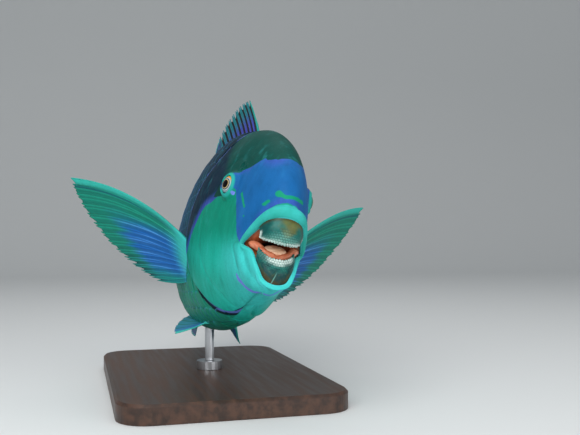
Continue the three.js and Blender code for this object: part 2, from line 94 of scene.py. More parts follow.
# Middle lines of the lips, from the middle of the mouth to its corner (x, a, z, radius)
LIP_FLAT = 0.72
UPPER_LIP = [(0, 1.6, -4, 4.3), (8.4, 4.2, -5.6, 4.2), (14.6, 12.4, -11.4, 3.2), (20, 24.5, -21.5, 1.9)]
LOWER_LIP = [(0, 6, -51.5, 2), (8.3, 7.7, -48.6, 1.9), (12.7, 12.3, -39.8, 1.8), (15.6, 20, -30.4, 1.7)]
LIP_CORNER = (20.2, 27.5, -26.2, 1.4)
MOUTH_MIDDLE = np.array([0, 12, -24])
# A small step along t or round the body, for slopes
STEP = 1e-4


# Shapes
def cubic(p0, p1, p2, p3, w):
    """Points between p1 and p2 of a smooth curve through all four, at w from 0 to 1."""
    m1, m2 = (p2 - p0) / 2, (p3 - p1) / 2
    return p1 + m1 * w + (3 * (p2 - p1) - 2 * m1 - m2) * w**2 + (2 * (p1 - p2) + m1 + m2) * w**3


def spline(points, t):
    """Points of a smooth curve through the given ones, at t from 0 to 1."""
    points = np.asarray(points, float)
    last = len(points) - 1
    along = np.clip(np.asarray(t, float), 0, 1) * last
    i = np.minimum(along.astype(int), last - 1)
    padded = np.vstack([2 * points[0] - points[1], points, 2 * points[-1] - points[-2]])
    return cubic(*(padded[i + k] for k in range(4)), (along - i)[..., None])


def loop_spline(points, turn):
    """Points of a smooth closed curve through the given ones, at turn from 0 to 2 pi."""
    count = len(points)
    along = np.mod(turn / (2 * math.pi), 1) * count
    i = np.floor(along).astype(int)
    return cubic(*(points[(i + k) % count] for k in (-1, 0, 1, 2)), (along - i)[..., None])


def ease(x, low, high):
    """0 up to low and 1 from high on, with a smooth step between them; low can be the larger."""
    x = np.clip((np.asarray(x, float) - low) / (high - low), 0, 1)
    return x * x * (3 - 2 * x)


def bell(x, wide):
    """1 where x is 0, fading away over a half width on both sides."""
    return np.exp(-((x / wide) ** 2))


def lerp(a, b, w):
    return a + (b - a) * w


def unit(v):
    return v / np.linalg.norm(v, axis=-1, keepdims=True)


def crossed(down, across):
    """Two rows of numbers as a grid: the first changes down it, the second across it."""
    return np.meshgrid(down, across, indexing="ij")


def rows_of(x, a, z):
    """Points from their coordinates, any of which can be one number for all."""
    return np.stack(np.broadcast_arrays(x, a, z), -1)


def circle(count):
    return np.arange(count) * 2 * math.pi / count


def painted(tint, *layers):
    """A colour with others laid over it: each layer has a colour and its weight at each point."""
    for tone, weight in layers:
        tint = tint + (tone - tint) * np.asarray(weight)[..., None]
    return tint


def bent(points):
    """Where points of the straight fish are with its tail swung to its left."""
    x, a, z = points[..., 0], points[..., 1], points[..., 2]
    span = BODY_LENGTH - BEND_START
    run = np.clip(a - BEND_START, 0, span)
    past = np.maximum(a - BODY_LENGTH, 0)
    angle = BEND_ANGLE * (run / span) ** 2
    drift = BEND_ANGLE * run**3 / (3 * span**2) + past * np.sin(angle)
    back = a - past + past * np.cos(angle)
    return np.stack([drift + x * np.cos(angle), back - x * np.sin(angle), z], -1)


def turned():
    """The rotation that banks the fish and lifts its nose."""
    c, s = math.cos(BANK), math.sin(BANK)
    bank = np.array([[c, 0, s], [0, 1, 0], [-s, 0, c]])
    c, s = math.cos(-NOSE_UP), math.sin(-NOSE_UP)
    lift = np.array([[1, 0, 0], [0, c, -s], [0, s, c]])
    return bank @ lift


def placed(points):
    """Points of the straight fish in the row frame, in metres."""
    return ((bent(np.asarray(points, float)) - HELD_AT) @ turned().T + [0, 0, BELLY_HEIGHT]) / 1000


def segment_gap(a, b, start, end):
    """Distance from (a, b) to the straight line between two points."""
    (a0, b0), (a1, b1) = start, end
    da, db = a1 - a0, b1 - b0
    w = np.clip(((a - a0) * da + (b - b0) * db) / (da * da + db * db), 0, 1)
    return np.hypot(a - a0 - w * da, b - b0 - w * db)


def flat_distance(a, b, line):
    """Distance from (a, b) to a line through points: positive on the left of its direction."""
    best = np.full(np.shape(a), 1e9)
    side = np.ones(np.shape(a))
    line = np.asarray(line, float)
    for start, end in zip(line[:-1], line[1:]):
        gap = segment_gap(a, b, start, end)
        cross = (end[0] - start[0]) * (b - start[1]) - (end[1] - start[1]) * (a - start[0])
        closer = gap < best
        best = np.where(closer, gap, best)
        side = np.where(closer, np.where(cross >= 0, 1.0, -1.0), side)
    return best * side


def smooth_line(points, steps=8):
    return spline(points, np.linspace(0, 1, (len(points) - 1) * steps + 1))


GILL_LINE = smooth_line(GILL_EDGE)
COVER_LINE = smooth_line(COVER_FRONT)
FOLD_LINES = [(smooth_line(line), deep, wide) for line, deep, wide in FOLDS]


def plain_skin(t, turn):
    """Points of the body's plain surface: t along the sections, turn from 0 at the back by the left side."""
    s = spline(SECTIONS, t)
    side = np.sin(turn)
    down = ((1 - np.cos(turn)) / 2) ** (math.log(WIDEST) / math.log(0.5))
    a = lerp(s[..., 0], s[..., 2], down) + s[..., 5] * side * side
    z = lerp(s[..., 1], s[..., 3], down)
    power = np.where(np.cos(turn) > 0, s[..., 6], s[..., 7])
    x = np.sign(side) * np.abs(side) ** power * s[..., 4]
    return np.stack([x, a, z], -1)


def relief(p):
    """How far the skin stands out from its plain surface, by its gill covers, folds and nostrils."""
    x, a, z = p[..., 0], p[..., 1], p[..., 2]
    front = gill_distance(p)
    low = 1 - ease(z, 25, 60)
    rise = GILL_FLARE * low * ease(a, 40, 125) * ease(front, -0.9, 0.5)
    rise -= 0.9 * low * ease(a, 36, 60) * bell(front + 1.6, 1.3)
    rise -= 0.25 * bell(flat_distance(a, z, COVER_LINE), 1.8) * ease(a, 50, 70)
    for line, deep, wide in FOLD_LINES:
        rise -= deep * bell(flat_distance(a, z, line), wide)
    under = (z < -40) * ease(a, 17, 22) * (1 - ease(a, 60, 68))
    rise -= 0.8 * under * bell(x - THROAT_FOLD, 0.8)
    for at, up, radius in NOSTRILS:
        gap = np.hypot(a - at, z - up)
        rise -= 1.4 * bell(gap, radius)
        rise += 0.35 * bell(gap - 2 * radius, 0.7 * radius)
    return rise


def surface(t, turn):
    """Points of the whole skin, with its relief and eyelids, and the plain surface's outward normals."""
    p = plain_skin(t, turn)
    along = plain_skin(t + STEP, turn) - plain_skin(t - STEP, turn)
    around = plain_skin(t, turn + STEP) - plain_skin(t, turn - STEP)
    normal = np.cross(around, along)
    normal /= np.linalg.norm(normal, axis=-1, keepdims=True) + 1e-12
    p = p + normal * relief(p)[..., None]
    for side in (RIGHT, LEFT):
        p = with_lids(p, side)
    return p, normal


def eye_centre(side):
    return np.array([side * (EYE_HALF - EYE_SUNK), EYE_A, EYE_Z])


def seen_from_eye(p, side):
    """An eye's axis, how far out along it each point lies, and the rest of the way from the eye's centre."""
    look = EYE_LOOK * [side, 1, 1]
    away = p - eye_centre(side)
    high = away @ look
    return look, high, away - high[..., None] * look


def with_lids(p, side):
    """Skin points raised into the fleshy mound round an eye, with the socket's edge kept round."""
    look, high, flat = seen_from_eye(p, side)
    out = np.linalg.norm(flat, axis=-1)
    near = (out < LIDS_REACH) & (high > -LIDS_REACH / 2)
    opening = LIDS_OPEN[side]
    edge = out - opening
    moved = opening + np.sign(edge) * np.maximum(np.abs(edge) - 0.45 * np.exp(-np.abs(edge)), 0)
    mound = LIDS_DEEP * np.sqrt(np.clip(1 - (moved / LIDS_WIDE) ** 2, 0, 1)) + 0.5 * bell(moved - 7.3, 0.8)
    mound = np.where(moved >= opening, mound, mound - 3 * (opening - moved))
    blend = 1.1
    raised = np.log(np.exp(high / blend) + np.exp(np.minimum(mound, 9) / blend)) * blend
    raised = np.where(moved >= opening, raised, np.maximum(mound, 1))
    fade = ease(out, 15, 10.5)
    new_high = lerp(high, raised, fade)
    scale = np.where(out > 1e-6, moved / np.maximum(out, 1e-6), 1)
    new = eye_centre(side) + flat * lerp(1, scale, fade)[..., None] + new_high[..., None] * look
    return np.where(near[..., None], new, p)


def lid_distance(p):
    """How far inside the fleshy rim round an eye each point lies; negative outside. Behind the eye the rim is
    cut short, so its pale colour gives way to painted shadow there.
    """
    nearest = np.full(p.shape[:-1], 99.0)
    for side in (RIGHT, LEFT):
        flat = seen_from_eye(p, side)[2]
        out = np.where(p[..., 0] * side > 0, np.linalg.norm(flat, axis=-1), 99)
        nearest = np.minimum(nearest, out)
    # Behind the eye the pale rim fades out, where painted shadow lies
    return 9.0 - nearest - 4 * ease(p[..., 1] - EYE_A, 1, 7)


def on_side(a, z):
    """Where the left side's plain surface lies at (a, z) in side view, as (t, turn)."""
    gap = (SIDE_GRID[:, 1][None] - a[:, None]) ** 2 + (SIDE_GRID[:, 2][None] - z[:, None]) ** 2
    nearest = np.argmin(gap, axis=1)
    t, turn = SIDE_T[nearest], SIDE_TURN[nearest]
    for _ in range(4):
        here = plain_skin(t, turn)
        by_t = (plain_skin(t + STEP, turn) - here) / STEP
        by_turn = (plain_skin(t, turn + STEP) - here) / STEP
        da, dz = a - here[:, 1], z - here[:, 2]
        det = by_t[:, 1] * by_turn[:, 2] - by_t[:, 2] * by_turn[:, 1]
        det = np.where(np.abs(det) < 1e-3, 1e9, det)
        move_t = (da * by_turn[:, 2] - dz * by_turn[:, 1]) / det
        move_turn = (by_t[:, 1] * dz - by_t[:, 2] * da) / det
        t = np.clip(t + np.clip(move_t, -0.01, 0.01), 0.001, 0.999)
        turn = np.clip(turn + np.clip(move_turn, -0.1, 0.1), 0.02, math.pi - 0.02)
    return t, turn


SIDE_T, SIDE_TURN = (grid.ravel() for grid in crossed(np.linspace(0, 1, 240), np.linspace(0.03, 3.11, 160)))
SIDE_GRID = plain_skin(SIDE_T, SIDE_TURN)


def half_width(a, z):
    t, turn = on_side(np.atleast_1d(np.asarray(a, float)), np.atleast_1d(np.asarray(z, float)))
    return plain_skin(t, turn)[..., 0]


EYE_HALF = float(half_width(EYE_A, EYE_Z)[0])


def gill_distance(p):
    """How far in front of the edge of the gill cover each point lies; negative behind it."""
    x, a, z = p[..., 0], p[..., 1], p[..., 2]
    beside = -flat_distance(a, z, GILL_LINE)
    under = -flat_distance(np.abs(x), a, GILL_UNDER)
    return lerp(beside, under, ease(z, -46, -60) * ease(a, 130, 118))


def area_distance(a, b, corners):
    """How far inside an outline with these corners each point (a, b) lies; negative outside."""
    corners = np.asarray(corners, float)
    inside = np.zeros(np.shape(a), bool)
    gap = np.full(np.shape(a), 1e9)
    for (a0, b0), (a1, b1) in zip(corners, np.roll(corners, -1, axis=0)):
        gap = np.minimum(gap, segment_gap(a, b, (a0, b0), (a1, b1)))
        db = b1 - b0
        crosses = ((b0 > b) != (b1 > b)) & (a < a0 + (b - b0) * (a1 - a0) / (db if abs(db) > 1e-9 else 1e-9))
        inside ^= crosses
    return np.where(inside, gap, -gap)


def line_distance(a, b, line, wide):
    """How far inside a stroke of this half width along a line each point lies; negative outside."""
    return wide - np.abs(flat_distance(a, b, line))


# Colours, linear
def hexed(code):
    """A colour as an array of linear red, green and blue."""
    values = np.array([int(code[i : i + 2], 16) for i in (0, 2, 4)]) / 255
    return np.where(values <= 0.04045, values / 12.92, ((values + 0.055) / 1.055) ** 2.4)


NAPE = hexed("04443e")
CHEEK_HIGH = hexed("08846c")
CHEEK_LOW = hexed("1aa896")
CHIN = hexed("3cbcb8")
LIP = hexed("2a978c")
LIP_EDGE = hexed("4cc4c8")
LID = hexed("259c92")
SNOUT_BLUE = hexed("175c98")
SNOUT_VIOLET = hexed("3a52ac")
MARK_GREEN = hexed("128a66")
LINE_VIOLET = hexed("667ccc")
# Painted shadow behind the gill cover's edge
GILL_SHADOW = hexed("04222b")
DARK_GREEN = hexed("06382f")
FLANK = hexed("094056")
FLANK_BLUE = hexed("15609c")
BACK = hexed("021d34")
BELLY = hexed("1c8a72")
SCALE_RIM = hexed("2f8fc0")

# Markings on the head, in side view (a, z) or, on the front of the snout, from ahead (x, z)
SNOUT_PATCH = [
    (-30, -27), (24, -27), (28.5, -24.5), (31.4, -24), (33.8, -20), (36.2, -14.5), (38, -9),
    (41.3, -1.8), (45.6, 5.7), (51.9, 15.2), (57, 22), (58.5, 25.5), (52, 28), (41.8, 30),
    (34.6, 33.4), (31.3, 35), (28.8, 33.6), (21, 33.4), (18.6, 35.2), (13, 37.4), (-30, 38),
]
SNOUT_DASH = [(40.1, 10), (35.9, 5.3), (31.4, 0)]
SNOUT_DOT = (29.8, -6.6)
SNOUT_BLOB = [(-13.3, 1.2), (-11.8, 2.8)]
SNOUT_STROKE = [(-6.2, 7.7), (-3.3, 6.4), (0.8, 7.1), (5.3, 7.0), (10.4, 6.2)]
STROKE_END = (-6.6, 8)
EYE_SPOT = (52.4, 11.6)
# Under the chin, seen from below (x, a)
CHIN_LINES = [
    [(-17, 40.2), (-14.1, 37.1), (-10.8, 34.6), (-8.6, 31.8), (-6.2, 27.5), (-4.8, 22.5)],
    [(-2, 18.8), (-0.2, 17.9), (2.1, 17.4), (4.6, 16), (6.4, 15.4), (9.4, 17.5), (13, 23), (17, 40)],
]
# The top of the head behind the eye, darkened with painted shade, and its lower and front edges
CHEEK_TOP = [
    (60, 14.5), (66, 13), (71.8, 13), (77.2, 12), (88.2, 8.1), (99, 6.3),
    (104, 2.5), (112, -6), (120, -14), (130, -26), (150, -40),
]
NAPE_EDGE = [(121, 90), (117, 78), (102, 62), (86, 47), (74, 34), (67, 27)]
PAINTED_SHADE_OUTLINE = CHEEK_TOP + [(150, 110), (124, 110)] + NAPE_EDGE
# A dark green mark behind the eye, widened forward into painted shadow behind the eye's mound
EYE_MARK_AND_SHADOW = [(66.5, 11), (86, 12), (81, 21), (75, 27), (67, 27.5)]
# The distance given to points that lie nowhere near a marking
FAR_OFF = -9.0


def dot_distance(a, b, middle, radius):
    """How far inside a dot each point lies; negative outside."""
    return radius - np.hypot(a - middle[0], b - middle[1])


def markings(p):
    """Signed distances in millimetres to the edges of the head's markings and of its painted shade, positive
    inside.
    """
    x, a, z = p[..., 0], p[..., 1], p[..., 2]
    strokes = line_distance(x, z, SNOUT_STROKE, 1.25)
    strokes = np.maximum(strokes, dot_distance(x, z, STROKE_END, 2.2))
    strokes = np.maximum(strokes, line_distance(x, z, SNOUT_BLOB, 1.15))
    strokes = np.where(a < 30, strokes, FAR_OFF)
    strokes = np.maximum(strokes, line_distance(a, z, SNOUT_DASH, 1.0))
    chin = np.maximum(*[line_distance(x, a, line, 1.3) for line in CHIN_LINES])
    chin = np.where(z < -38, chin, FAR_OFF)
    middle = np.where((z < -40) & (a > 21) & (a < 58), 0.5 - np.abs(x - THROAT_FOLD), FAR_OFF)
    gill = gill_distance(p)
    return {
        "snout": area_distance(a, z, SNOUT_PATCH),
        "green": np.maximum(strokes, dot_distance(a, z, SNOUT_DOT, 0.8)),
        "gill": gill,
        "margin": lerp(0.7 - np.abs(gill - 0.9), 0.7 - np.abs(gill + 2.3), ease(z, -38, -52)),
        "violet": np.maximum(chin, dot_distance(a, z, EYE_SPOT, 1.4)),
        "eye_mark_and_shadow": area_distance(a, z, EYE_MARK_AND_SHADOW),
        # The area of painted shade over the top of the head behind the eye
        "painted_shade": area_distance(a, z, PAINTED_SHADE_OUTLINE),
        # Painted shade in the jaw's fold and in the throat's fold
        "fold_shade": np.maximum(line_distance(a, z, FOLD_LINES[0][0], 0.35), middle),
        "lapped": np.where(z < -40, np.minimum(x - THROAT_FOLD - 0.3, 16 - x), FAR_OFF),
    }


def shades(p):
    """The smooth colours of the skin under its markings: over most of it, and where painted shade darkens the
    top of the head behind the eye.
    """
    x, a, z = p[..., 0], p[..., 1], p[..., 2]
    front = gill_distance(p)
    flank = ease(a, 150, 220) * ease(z, -45, -5) * ease(a, 400, 300)
    head = painted(
        CHEEK_HIGH,
        (CHEEK_LOW, ease(z, -8, -38)),
        (CHIN, ease(a + (z + 40) * 0.3, 78, 30) * ease(z, -16, -34)),
        (CHEEK_HIGH * 0.75, ease(front, 26, 4) * ease(z, -70, -30) * 0.7),
        (NAPE, ease(z, 14, 32)),
    )
    body = painted(
        FLANK,
        (BACK, ease(z, 5, 60)),
        (FLANK_BLUE, 0.5 * flank),
        (BELLY, ease(z, -14, -48) * ease(a, 340, 240)),
        (CHEEK_HIGH, 0.6 * ease(a, 335, 385)),
    )
    # Painted shade: the back's dark blue over the top of the head behind the eye, with the violet band along
    # its lower edge and the nape's green at its front
    painted_shade = painted(
        BACK,
        (SNOUT_VIOLET * 0.75, ease(flat_distance(a, z, CHEEK_TOP), 9, 1)),
        (NAPE, ease(np.abs(flat_distance(a, z, NAPE_EDGE)), 11, 0)),
    )
    lapped = ease(x, -4.6, -3.6) * ease(x, 22, 14)
    lapped = lapped * ease(z, -44, -54) * ease(a, 108, 88)
    behind = np.maximum(ease(front, -1, 0.3), lapped)
    return {"ground": painted(body, (head, behind)), "above": painted(body, (painted_shade, behind))}


# Meshes
def new_object(name, points, faces, material, scalars=None, colours=None, uv=None):
    """A mesh object from fish points in millimetres and quads, with its attributes, riding on the fish."""
    mesh = bpy.data.meshes.new(name)
    points = np.asarray(points, float).reshape(-1, 3)
    faces = np.asarray(faces, np.int32)
    mesh.vertices.add(len(points))
    mesh.vertices.foreach_set("co", placed(points).astype(np.float32).ravel())
    corners = faces.shape[1]
    mesh.loops.add(faces.size)
    mesh.loops.foreach_set("vertex_index", faces.ravel())
    mesh.polygons.add(len(faces))
    mesh.polygons.foreach_set("loop_start", np.arange(0, faces.size, corners, dtype=np.int32))
    mesh.update(calc_edges=True)
    mesh.polygons.foreach_set("use_smooth", np.full(len(faces), True))
    for key, values in (scalars or {}).items():
        layer = mesh.attributes.new(key, "FLOAT", "POINT")
        layer.data.foreach_set("value", np.asarray(values, np.float32).ravel())
    for key, values in (colours or {}).items():
        layer = mesh.attributes.new(key, "FLOAT_COLOR", "POINT")
        rgba = np.ones((len(points), 4), np.float32)
        rgba[:, :3] = np.asarray(values).reshape(-1, 3)
        layer.data.foreach_set("color", rgba.ravel())
    if uv is not None:
        layer = mesh.uv_layers.new(name="OFBake")
        layer.data.foreach_set("uv", np.asarray(uv, np.float32).reshape(-1, 2)[faces.ravel()].ravel())
    mesh.validate()
    made = bpy.data.objects.new(name, mesh)
    bpy.context.scene.collection.objects.link(made)
    mesh.materials.append(material)
    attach(made, "root")
    return made


def grid_quads(rows, columns, wrap=False, flip=False, start=0):
    """Quads between rows of points; with wrap each row closes on itself."""
    i, j = crossed(np.arange(rows - 1), np.arange(columns if wrap else columns - 1))
    k = (j + 1) % columns
    quads = np.stack([i * columns + j, i * columns + k, (i + 1) * columns + k, (i + 1) * columns + j], -1)
    quads = quads.reshape(-1, 4) + start
    return quads[:, ::-1] if flip else quads


def grid_normals(p):
    """Unit normals of a grid of points."""
    normal = np.cross(np.gradient(p, axis=1), np.gradient(p, axis=0))
    return normal / (np.linalg.norm(normal, axis=-1, keepdims=True) + 1e-12)


def plate(p, thick):
    """A closed plate round a grid of points: its points and quads."""
    rows, columns = p.shape[:2]
    normal = grid_normals(p)
    both = np.concatenate([p + normal * thick[..., None] / 2, p - normal * thick[..., None] / 2])
    count = rows * columns
    front = grid_quads(rows, columns)
    behind = grid_quads(rows, columns, flip=True, start=count)
    rim = np.concatenate([
        np.arange(columns - 1),
        np.arange(rows - 1) * columns + columns - 1,
        (rows - 1) * columns + np.arange(columns - 1, 0, -1),
        np.arange(rows - 1, 0, -1) * columns,
    ])
    ahead = np.roll(rim, -1)
    edge = np.stack([ahead, rim, rim + count, ahead + count], -1)
    return both.reshape(-1, 3), np.concatenate([front, behind, edge])


def tinted(name, points, faces, material, tint, faces_both=False):
    """A mesh object with a colour at each point; a plate has the same colours on both faces."""
    tint = np.asarray(tint).reshape(-1, 3)
    colours = np.tile(tint, (2, 1)) if faces_both else tint
    return new_object(name, points, faces, material, colours={"tint": colours})


# Materials
BUMP_DISTANCE = 0.0005


class Nodes:
    """Short ways to build a material's nodes."""

    def __init__(self, name):
        self.material = bpy.data.materials.new(name)
        self.material.use_nodes = True
        self.tree = self.material.node_tree
        self.shader = self.tree.nodes["Principled BSDF"]

    def put(self, kind, inputs=None, **settings):
        node = self.tree.nodes.new(kind)
        for key, value in settings.items():
            setattr(node, key, value)
        for key, value in (inputs or {}).items():
            self.join(value, node.inputs[key])
        return node

    def join(self, value, socket):
        if isinstance(value, bpy.types.NodeSocket):
            self.tree.links.new(value, socket)
        elif isinstance(value, np.ndarray):
            socket.default_value = (*value, 1)
        else:
            socket.default_value = value

    def scalar(self, name):
        return self.put("ShaderNodeAttribute", attribute_name=name).outputs["Fac"]

    def colour(self, name):
        return self.put("ShaderNodeAttribute", attribute_name=name).outputs["Color"]

    def ramp(self, value, low, high, to_low=0.0, to_high=1.0):
        inputs = {"Value": value, "From Min": low, "From Max": high, "To Min": to_low, "To Max": to_high}
        return self.put("ShaderNodeMapRange", inputs, interpolation_type="SMOOTHSTEP").outputs["Result"]

    def math(self, operation, first, second=0.0):
        return self.put("ShaderNodeMath", {0: first, 1: second}, operation=operation).outputs[0]

    def mix(self, factor, first, second, blend="MIX"):
        node = self.put("ShaderNodeMix", data_type="RGBA", blend_type=blend)
        for key, value in (("Factor_Float", factor), ("A_Color", first), ("B_Color", second)):
            self.join(value, next(i for i in node.inputs if i.identifier == key))
        return next(o for o in node.outputs if o.identifier == "Result_Color")

    def mottled(self, colour, layers):
        """A colour with tones mixed in where noise lies in a range: (noise, low, high, most, share, tone)."""
        for noise, low, high, most, share, tone in layers:
            colour = self.mix(self.ramp(noise, low, high, 0, most), colour, self.mix(share, colour, tone))
        return colour

    def strip(self, value, low, high, soft=0.3):
        """1 where the value lies between low and high, with soft edges."""
        return self.math("MULTIPLY", self.ramp(value, low - soft, low), self.ramp(value, high + soft, high))

    def noise(self, scale, stretch=(1, 1, 1), detail=3.0):
        place = self.put("ShaderNodeTexCoord").outputs["Object"]
        mapped = self.put("ShaderNodeMapping", {"Vector": place, "Scale": stretch}).outputs["Vector"]
        inputs = {"Vector": mapped, "Scale": scale, "Detail": detail}
        return self.put("ShaderNodeTexNoise", inputs).outputs["Fac"]

    def finish(self, colour, roughness, bump=None, strength=0.2, **extra):
        self.join(colour, self.shader.inputs["Base Color"])
        self.join(roughness, self.shader.inputs["Roughness"])
        if bump is not None:
            inputs = {"Height": bump, "Strength": strength, "Distance": BUMP_DISTANCE}
            made = self.put("ShaderNodeBump", inputs)
            self.join(made.outputs["Normal"], self.shader.inputs["Normal"])
        for key, value in extra.items():
            self.join(value, self.shader.inputs[key.replace("_", " ")])
        return self.material


def skin_material():
    """Blue-green skin: markings with noisy edges over mottled ground colours, bright lids and lips, and
    painted shade behind the eye, in the folds and behind the gill cover's edge.
    """
    n = Nodes("skin")
    streaks = n.noise(260, (1, 1, 0.12))
    blotches = n.noise(45)
    fine = n.noise(900)
    patches = n.noise(120, (1, 1, 0.5))
    edge = n.ramp(n.noise(320), 0.2, 0.8, -0.35, 0.35)

    def mask(name, soft=0.15):
        return n.ramp(n.math("ADD", n.scalar(name), edge), -soft, soft)

    # Painted shade over the top of the head behind the eye
    colour = n.mix(mask("painted_shade", 0.4), n.colour("ground"), n.colour("above"))
    colour = n.mottled(colour, [
        (streaks, 0.4, 0.7, 0.25, 0.5, DARK_GREEN),
        (streaks, 0.45, 0.25, 0.2, 0.4, LIP),
        (patches, 0.5, 0.72, 0.35, 0.5, DARK_GREEN),
        (patches, 0.45, 0.28, 0.3, 0.4, LIP_EDGE),
        (fine, 0.45, 0.7, 0.2, 0.6, DARK_GREEN),
    ])
    # The dark green mark behind the eye, and painted shadow behind the eye's mound
    colour = n.mix(mask("eye_mark_and_shadow", 0.3), colour, DARK_GREEN)
    deep = n.math("ADD", n.scalar("snout"), n.ramp(blotches, 0.3, 0.7, -4, 4))
    snout = n.mix(n.ramp(deep, -4.0, 6.0, 0.3, 1.0), SNOUT_VIOLET, SNOUT_BLUE)
    snout = n.mix(n.ramp(n.scalar("lip"), -8.0, -1.5, 0, 0.7), snout, SNOUT_VIOLET)
    snout = n.mottled(snout, [
        (streaks, 0.4, 0.7, 0.25, 0.4, FLANK),
        (patches, 0.45, 0.7, 0.4, 0.4, BACK),
        (patches, 0.45, 0.28, 0.3, 0.3, SCALE_RIM),
        (fine, 0.45, 0.7, 0.2, 0.4, BACK),
    ])
    colour = n.mix(mask("snout"), colour, snout)
    colour = n.mix(mask("green"), colour, MARK_GREEN)
    lid = n.scalar("lid")
    colour = n.mix(n.ramp(lid, -0.7, 0.7), colour, n.mix(n.ramp(lid, 1.9, 2.4), LID, LIP))
    # Painted shade in the folds
    colour = n.mix(n.ramp(n.scalar("fold_shade"), -1.4, 0.3, 0, 0.22), colour, DARK_GREEN)
    seen = n.ramp(n.scalar("lapped"), 0.4, -0.4)
    # Painted shadow in a band behind the gill cover's edge, left out where the cover laps over the other
    shadow_band = n.strip(n.scalar("gill"), -4.8, 0.1)
    colour = n.mix(n.math("MULTIPLY", shadow_band, seen), colour, GILL_SHADOW)
    margin = n.ramp(n.scalar("margin"), -0.3, 0.3, 0, 0.8)
    colour = n.mix(n.math("MULTIPLY", margin, seen), colour, LINE_VIOLET)
    colour = n.mix(n.ramp(n.scalar("rim"), 0.6, 0.95, 0, 0.5), colour, SCALE_RIM)
    lip = n.math("ADD", n.scalar("lip"), edge)
    upper = n.scalar("upper")
    pale = n.mix(n.ramp(blotches, 0.3, 0.8), LIP, CHIN)
    lips = n.mix(n.ramp(upper, -0.3, 0.3), n.colour("ground"), pale)
    lips = n.mottled(lips, [(patches, 0.45, 0.7, 0.4, 0.5, CHEEK_HIGH)])
    lips = n.mix(n.ramp(n.scalar("inward"), -0.6, -0.1, 0, 0.7), lips, LIP_EDGE)
    colour = n.mix(n.ramp(lip, -0.3, 0.1), colour, lips)
    brim = n.math("MULTIPLY", n.strip(lip, -0.5, 0.5), n.ramp(patches, 0.35, 0.55))
    colour = n.mix(n.math("MULTIPLY", brim, n.ramp(upper, 0.5, 1.5, 0, 0.8)), colour, MARK_GREEN)
    colour = n.mix(mask("violet", 0.3), colour, LINE_VIOLET)
    bump = n.math("ADD", n.math("MULTIPLY", streaks, 0.5), n.math("MULTIPLY", fine, 0.35))
    return n.finish(colour, n.ramp(blotches, 0.3, 0.7, 0.46, 0.58), bump, 0.3, Specular_IOR_Level=0.07)


def tint_material(name, roughness, bump_scale=None, strength=0.2, vary=0.0, **extra):
    """A material with each point's own tint, which noise darkens by up to the share given as vary."""
    n = Nodes(name)
    shade = n.colour("tint")
    bump = n.noise(bump_scale) if bump_scale else None
    if vary:
        darker = n.ramp(n.noise(bump_scale * 0.4), 0.35, 0.7, 0, vary)
        shade = n.mix(darker, shade, n.mix(1.0, shade, shade, "MULTIPLY"))
    return n.finish(shade, roughness, bump, strength, **extra)


SKIN = skin_material()
FIN = tint_material("fin", 0.5, 700, 0.15, 0.1, Specular_IOR_Level=0.15)
BEAK = tint_material("beak", 0.34, 900, 0.15, 0.2, Specular_IOR_Level=0.2)
FLESH = tint_material("flesh", 0.42, 500, 0.3, 0.35, Coat_Weight=0.15, Coat_Roughness=0.2)
EYE = tint_material("eye", 0.25, Specular_IOR_Level=0.05, Coat_Weight=0.18, Coat_Roughness=0.03)


# Skin
LIP_STEP = 1e-3
HALF_LOOP = [*UPPER_LIP, LIP_CORNER, *LOWER_LIP[::-1]]
LIP_LOOP = np.array(HALF_LOOP + [(-x, a, z, r) for x, a, z, r in HALF_LOOP[-2:0:-1]])


def facing_ahead(along):
    """The direction square to a line that faces most nearly ahead of the fish."""
    return unit(np.array([0.0, -1, 0]) + along * along[..., 1:2])


def lip_point(turn, angle, grow=1.0):
    """A point on the lips: angle 0 faces ahead, -90 the mouth and 90 away from it, in degrees."""
    here = loop_spline(LIP_LOOP, turn)
    middle, radius = here[..., :3], here[..., 3:]
    ahead = loop_spline(LIP_LOOP, turn + LIP_STEP) - loop_spline(LIP_LOOP, turn - LIP_STEP)
    ahead = unit(ahead[..., :3])
    out = facing_ahead(ahead)
    away = np.cross(ahead, out)
    away *= np.sign(np.sum(away * (middle - MOUTH_MIDDLE), axis=-1, keepdims=True))
    angle = np.radians(angle + 0 * turn)[..., None]
    return middle + radius * grow * (LIP_FLAT * np.cos(angle) * out + np.sin(angle) * away)


COLUMNS = 480
LIP_ANGLES = [
    -215, -190, -165, -145, -125, -108, -92, -76, -60, -44, -28, -12, 4, 20, 36, 52, 66, 80, 92, 104,
]
LIP_EDGE_ANGLE = -60
RINGS_PER_SECTION = [22, 26, 42, 66, 80, 56, 30, 30, 30, 28, 20, 14]
BODY_START = 0.012


def body_rings():
    """Places along the body of the skin's rings, close together over the head."""
    t = [(i + np.arange(count) / count) / len(RINGS_PER_SECTION) for i, count in enumerate(RINGS_PER_SECTION)]
    t = np.concatenate(t + [[1.0]])
    return t[t >= BODY_START]


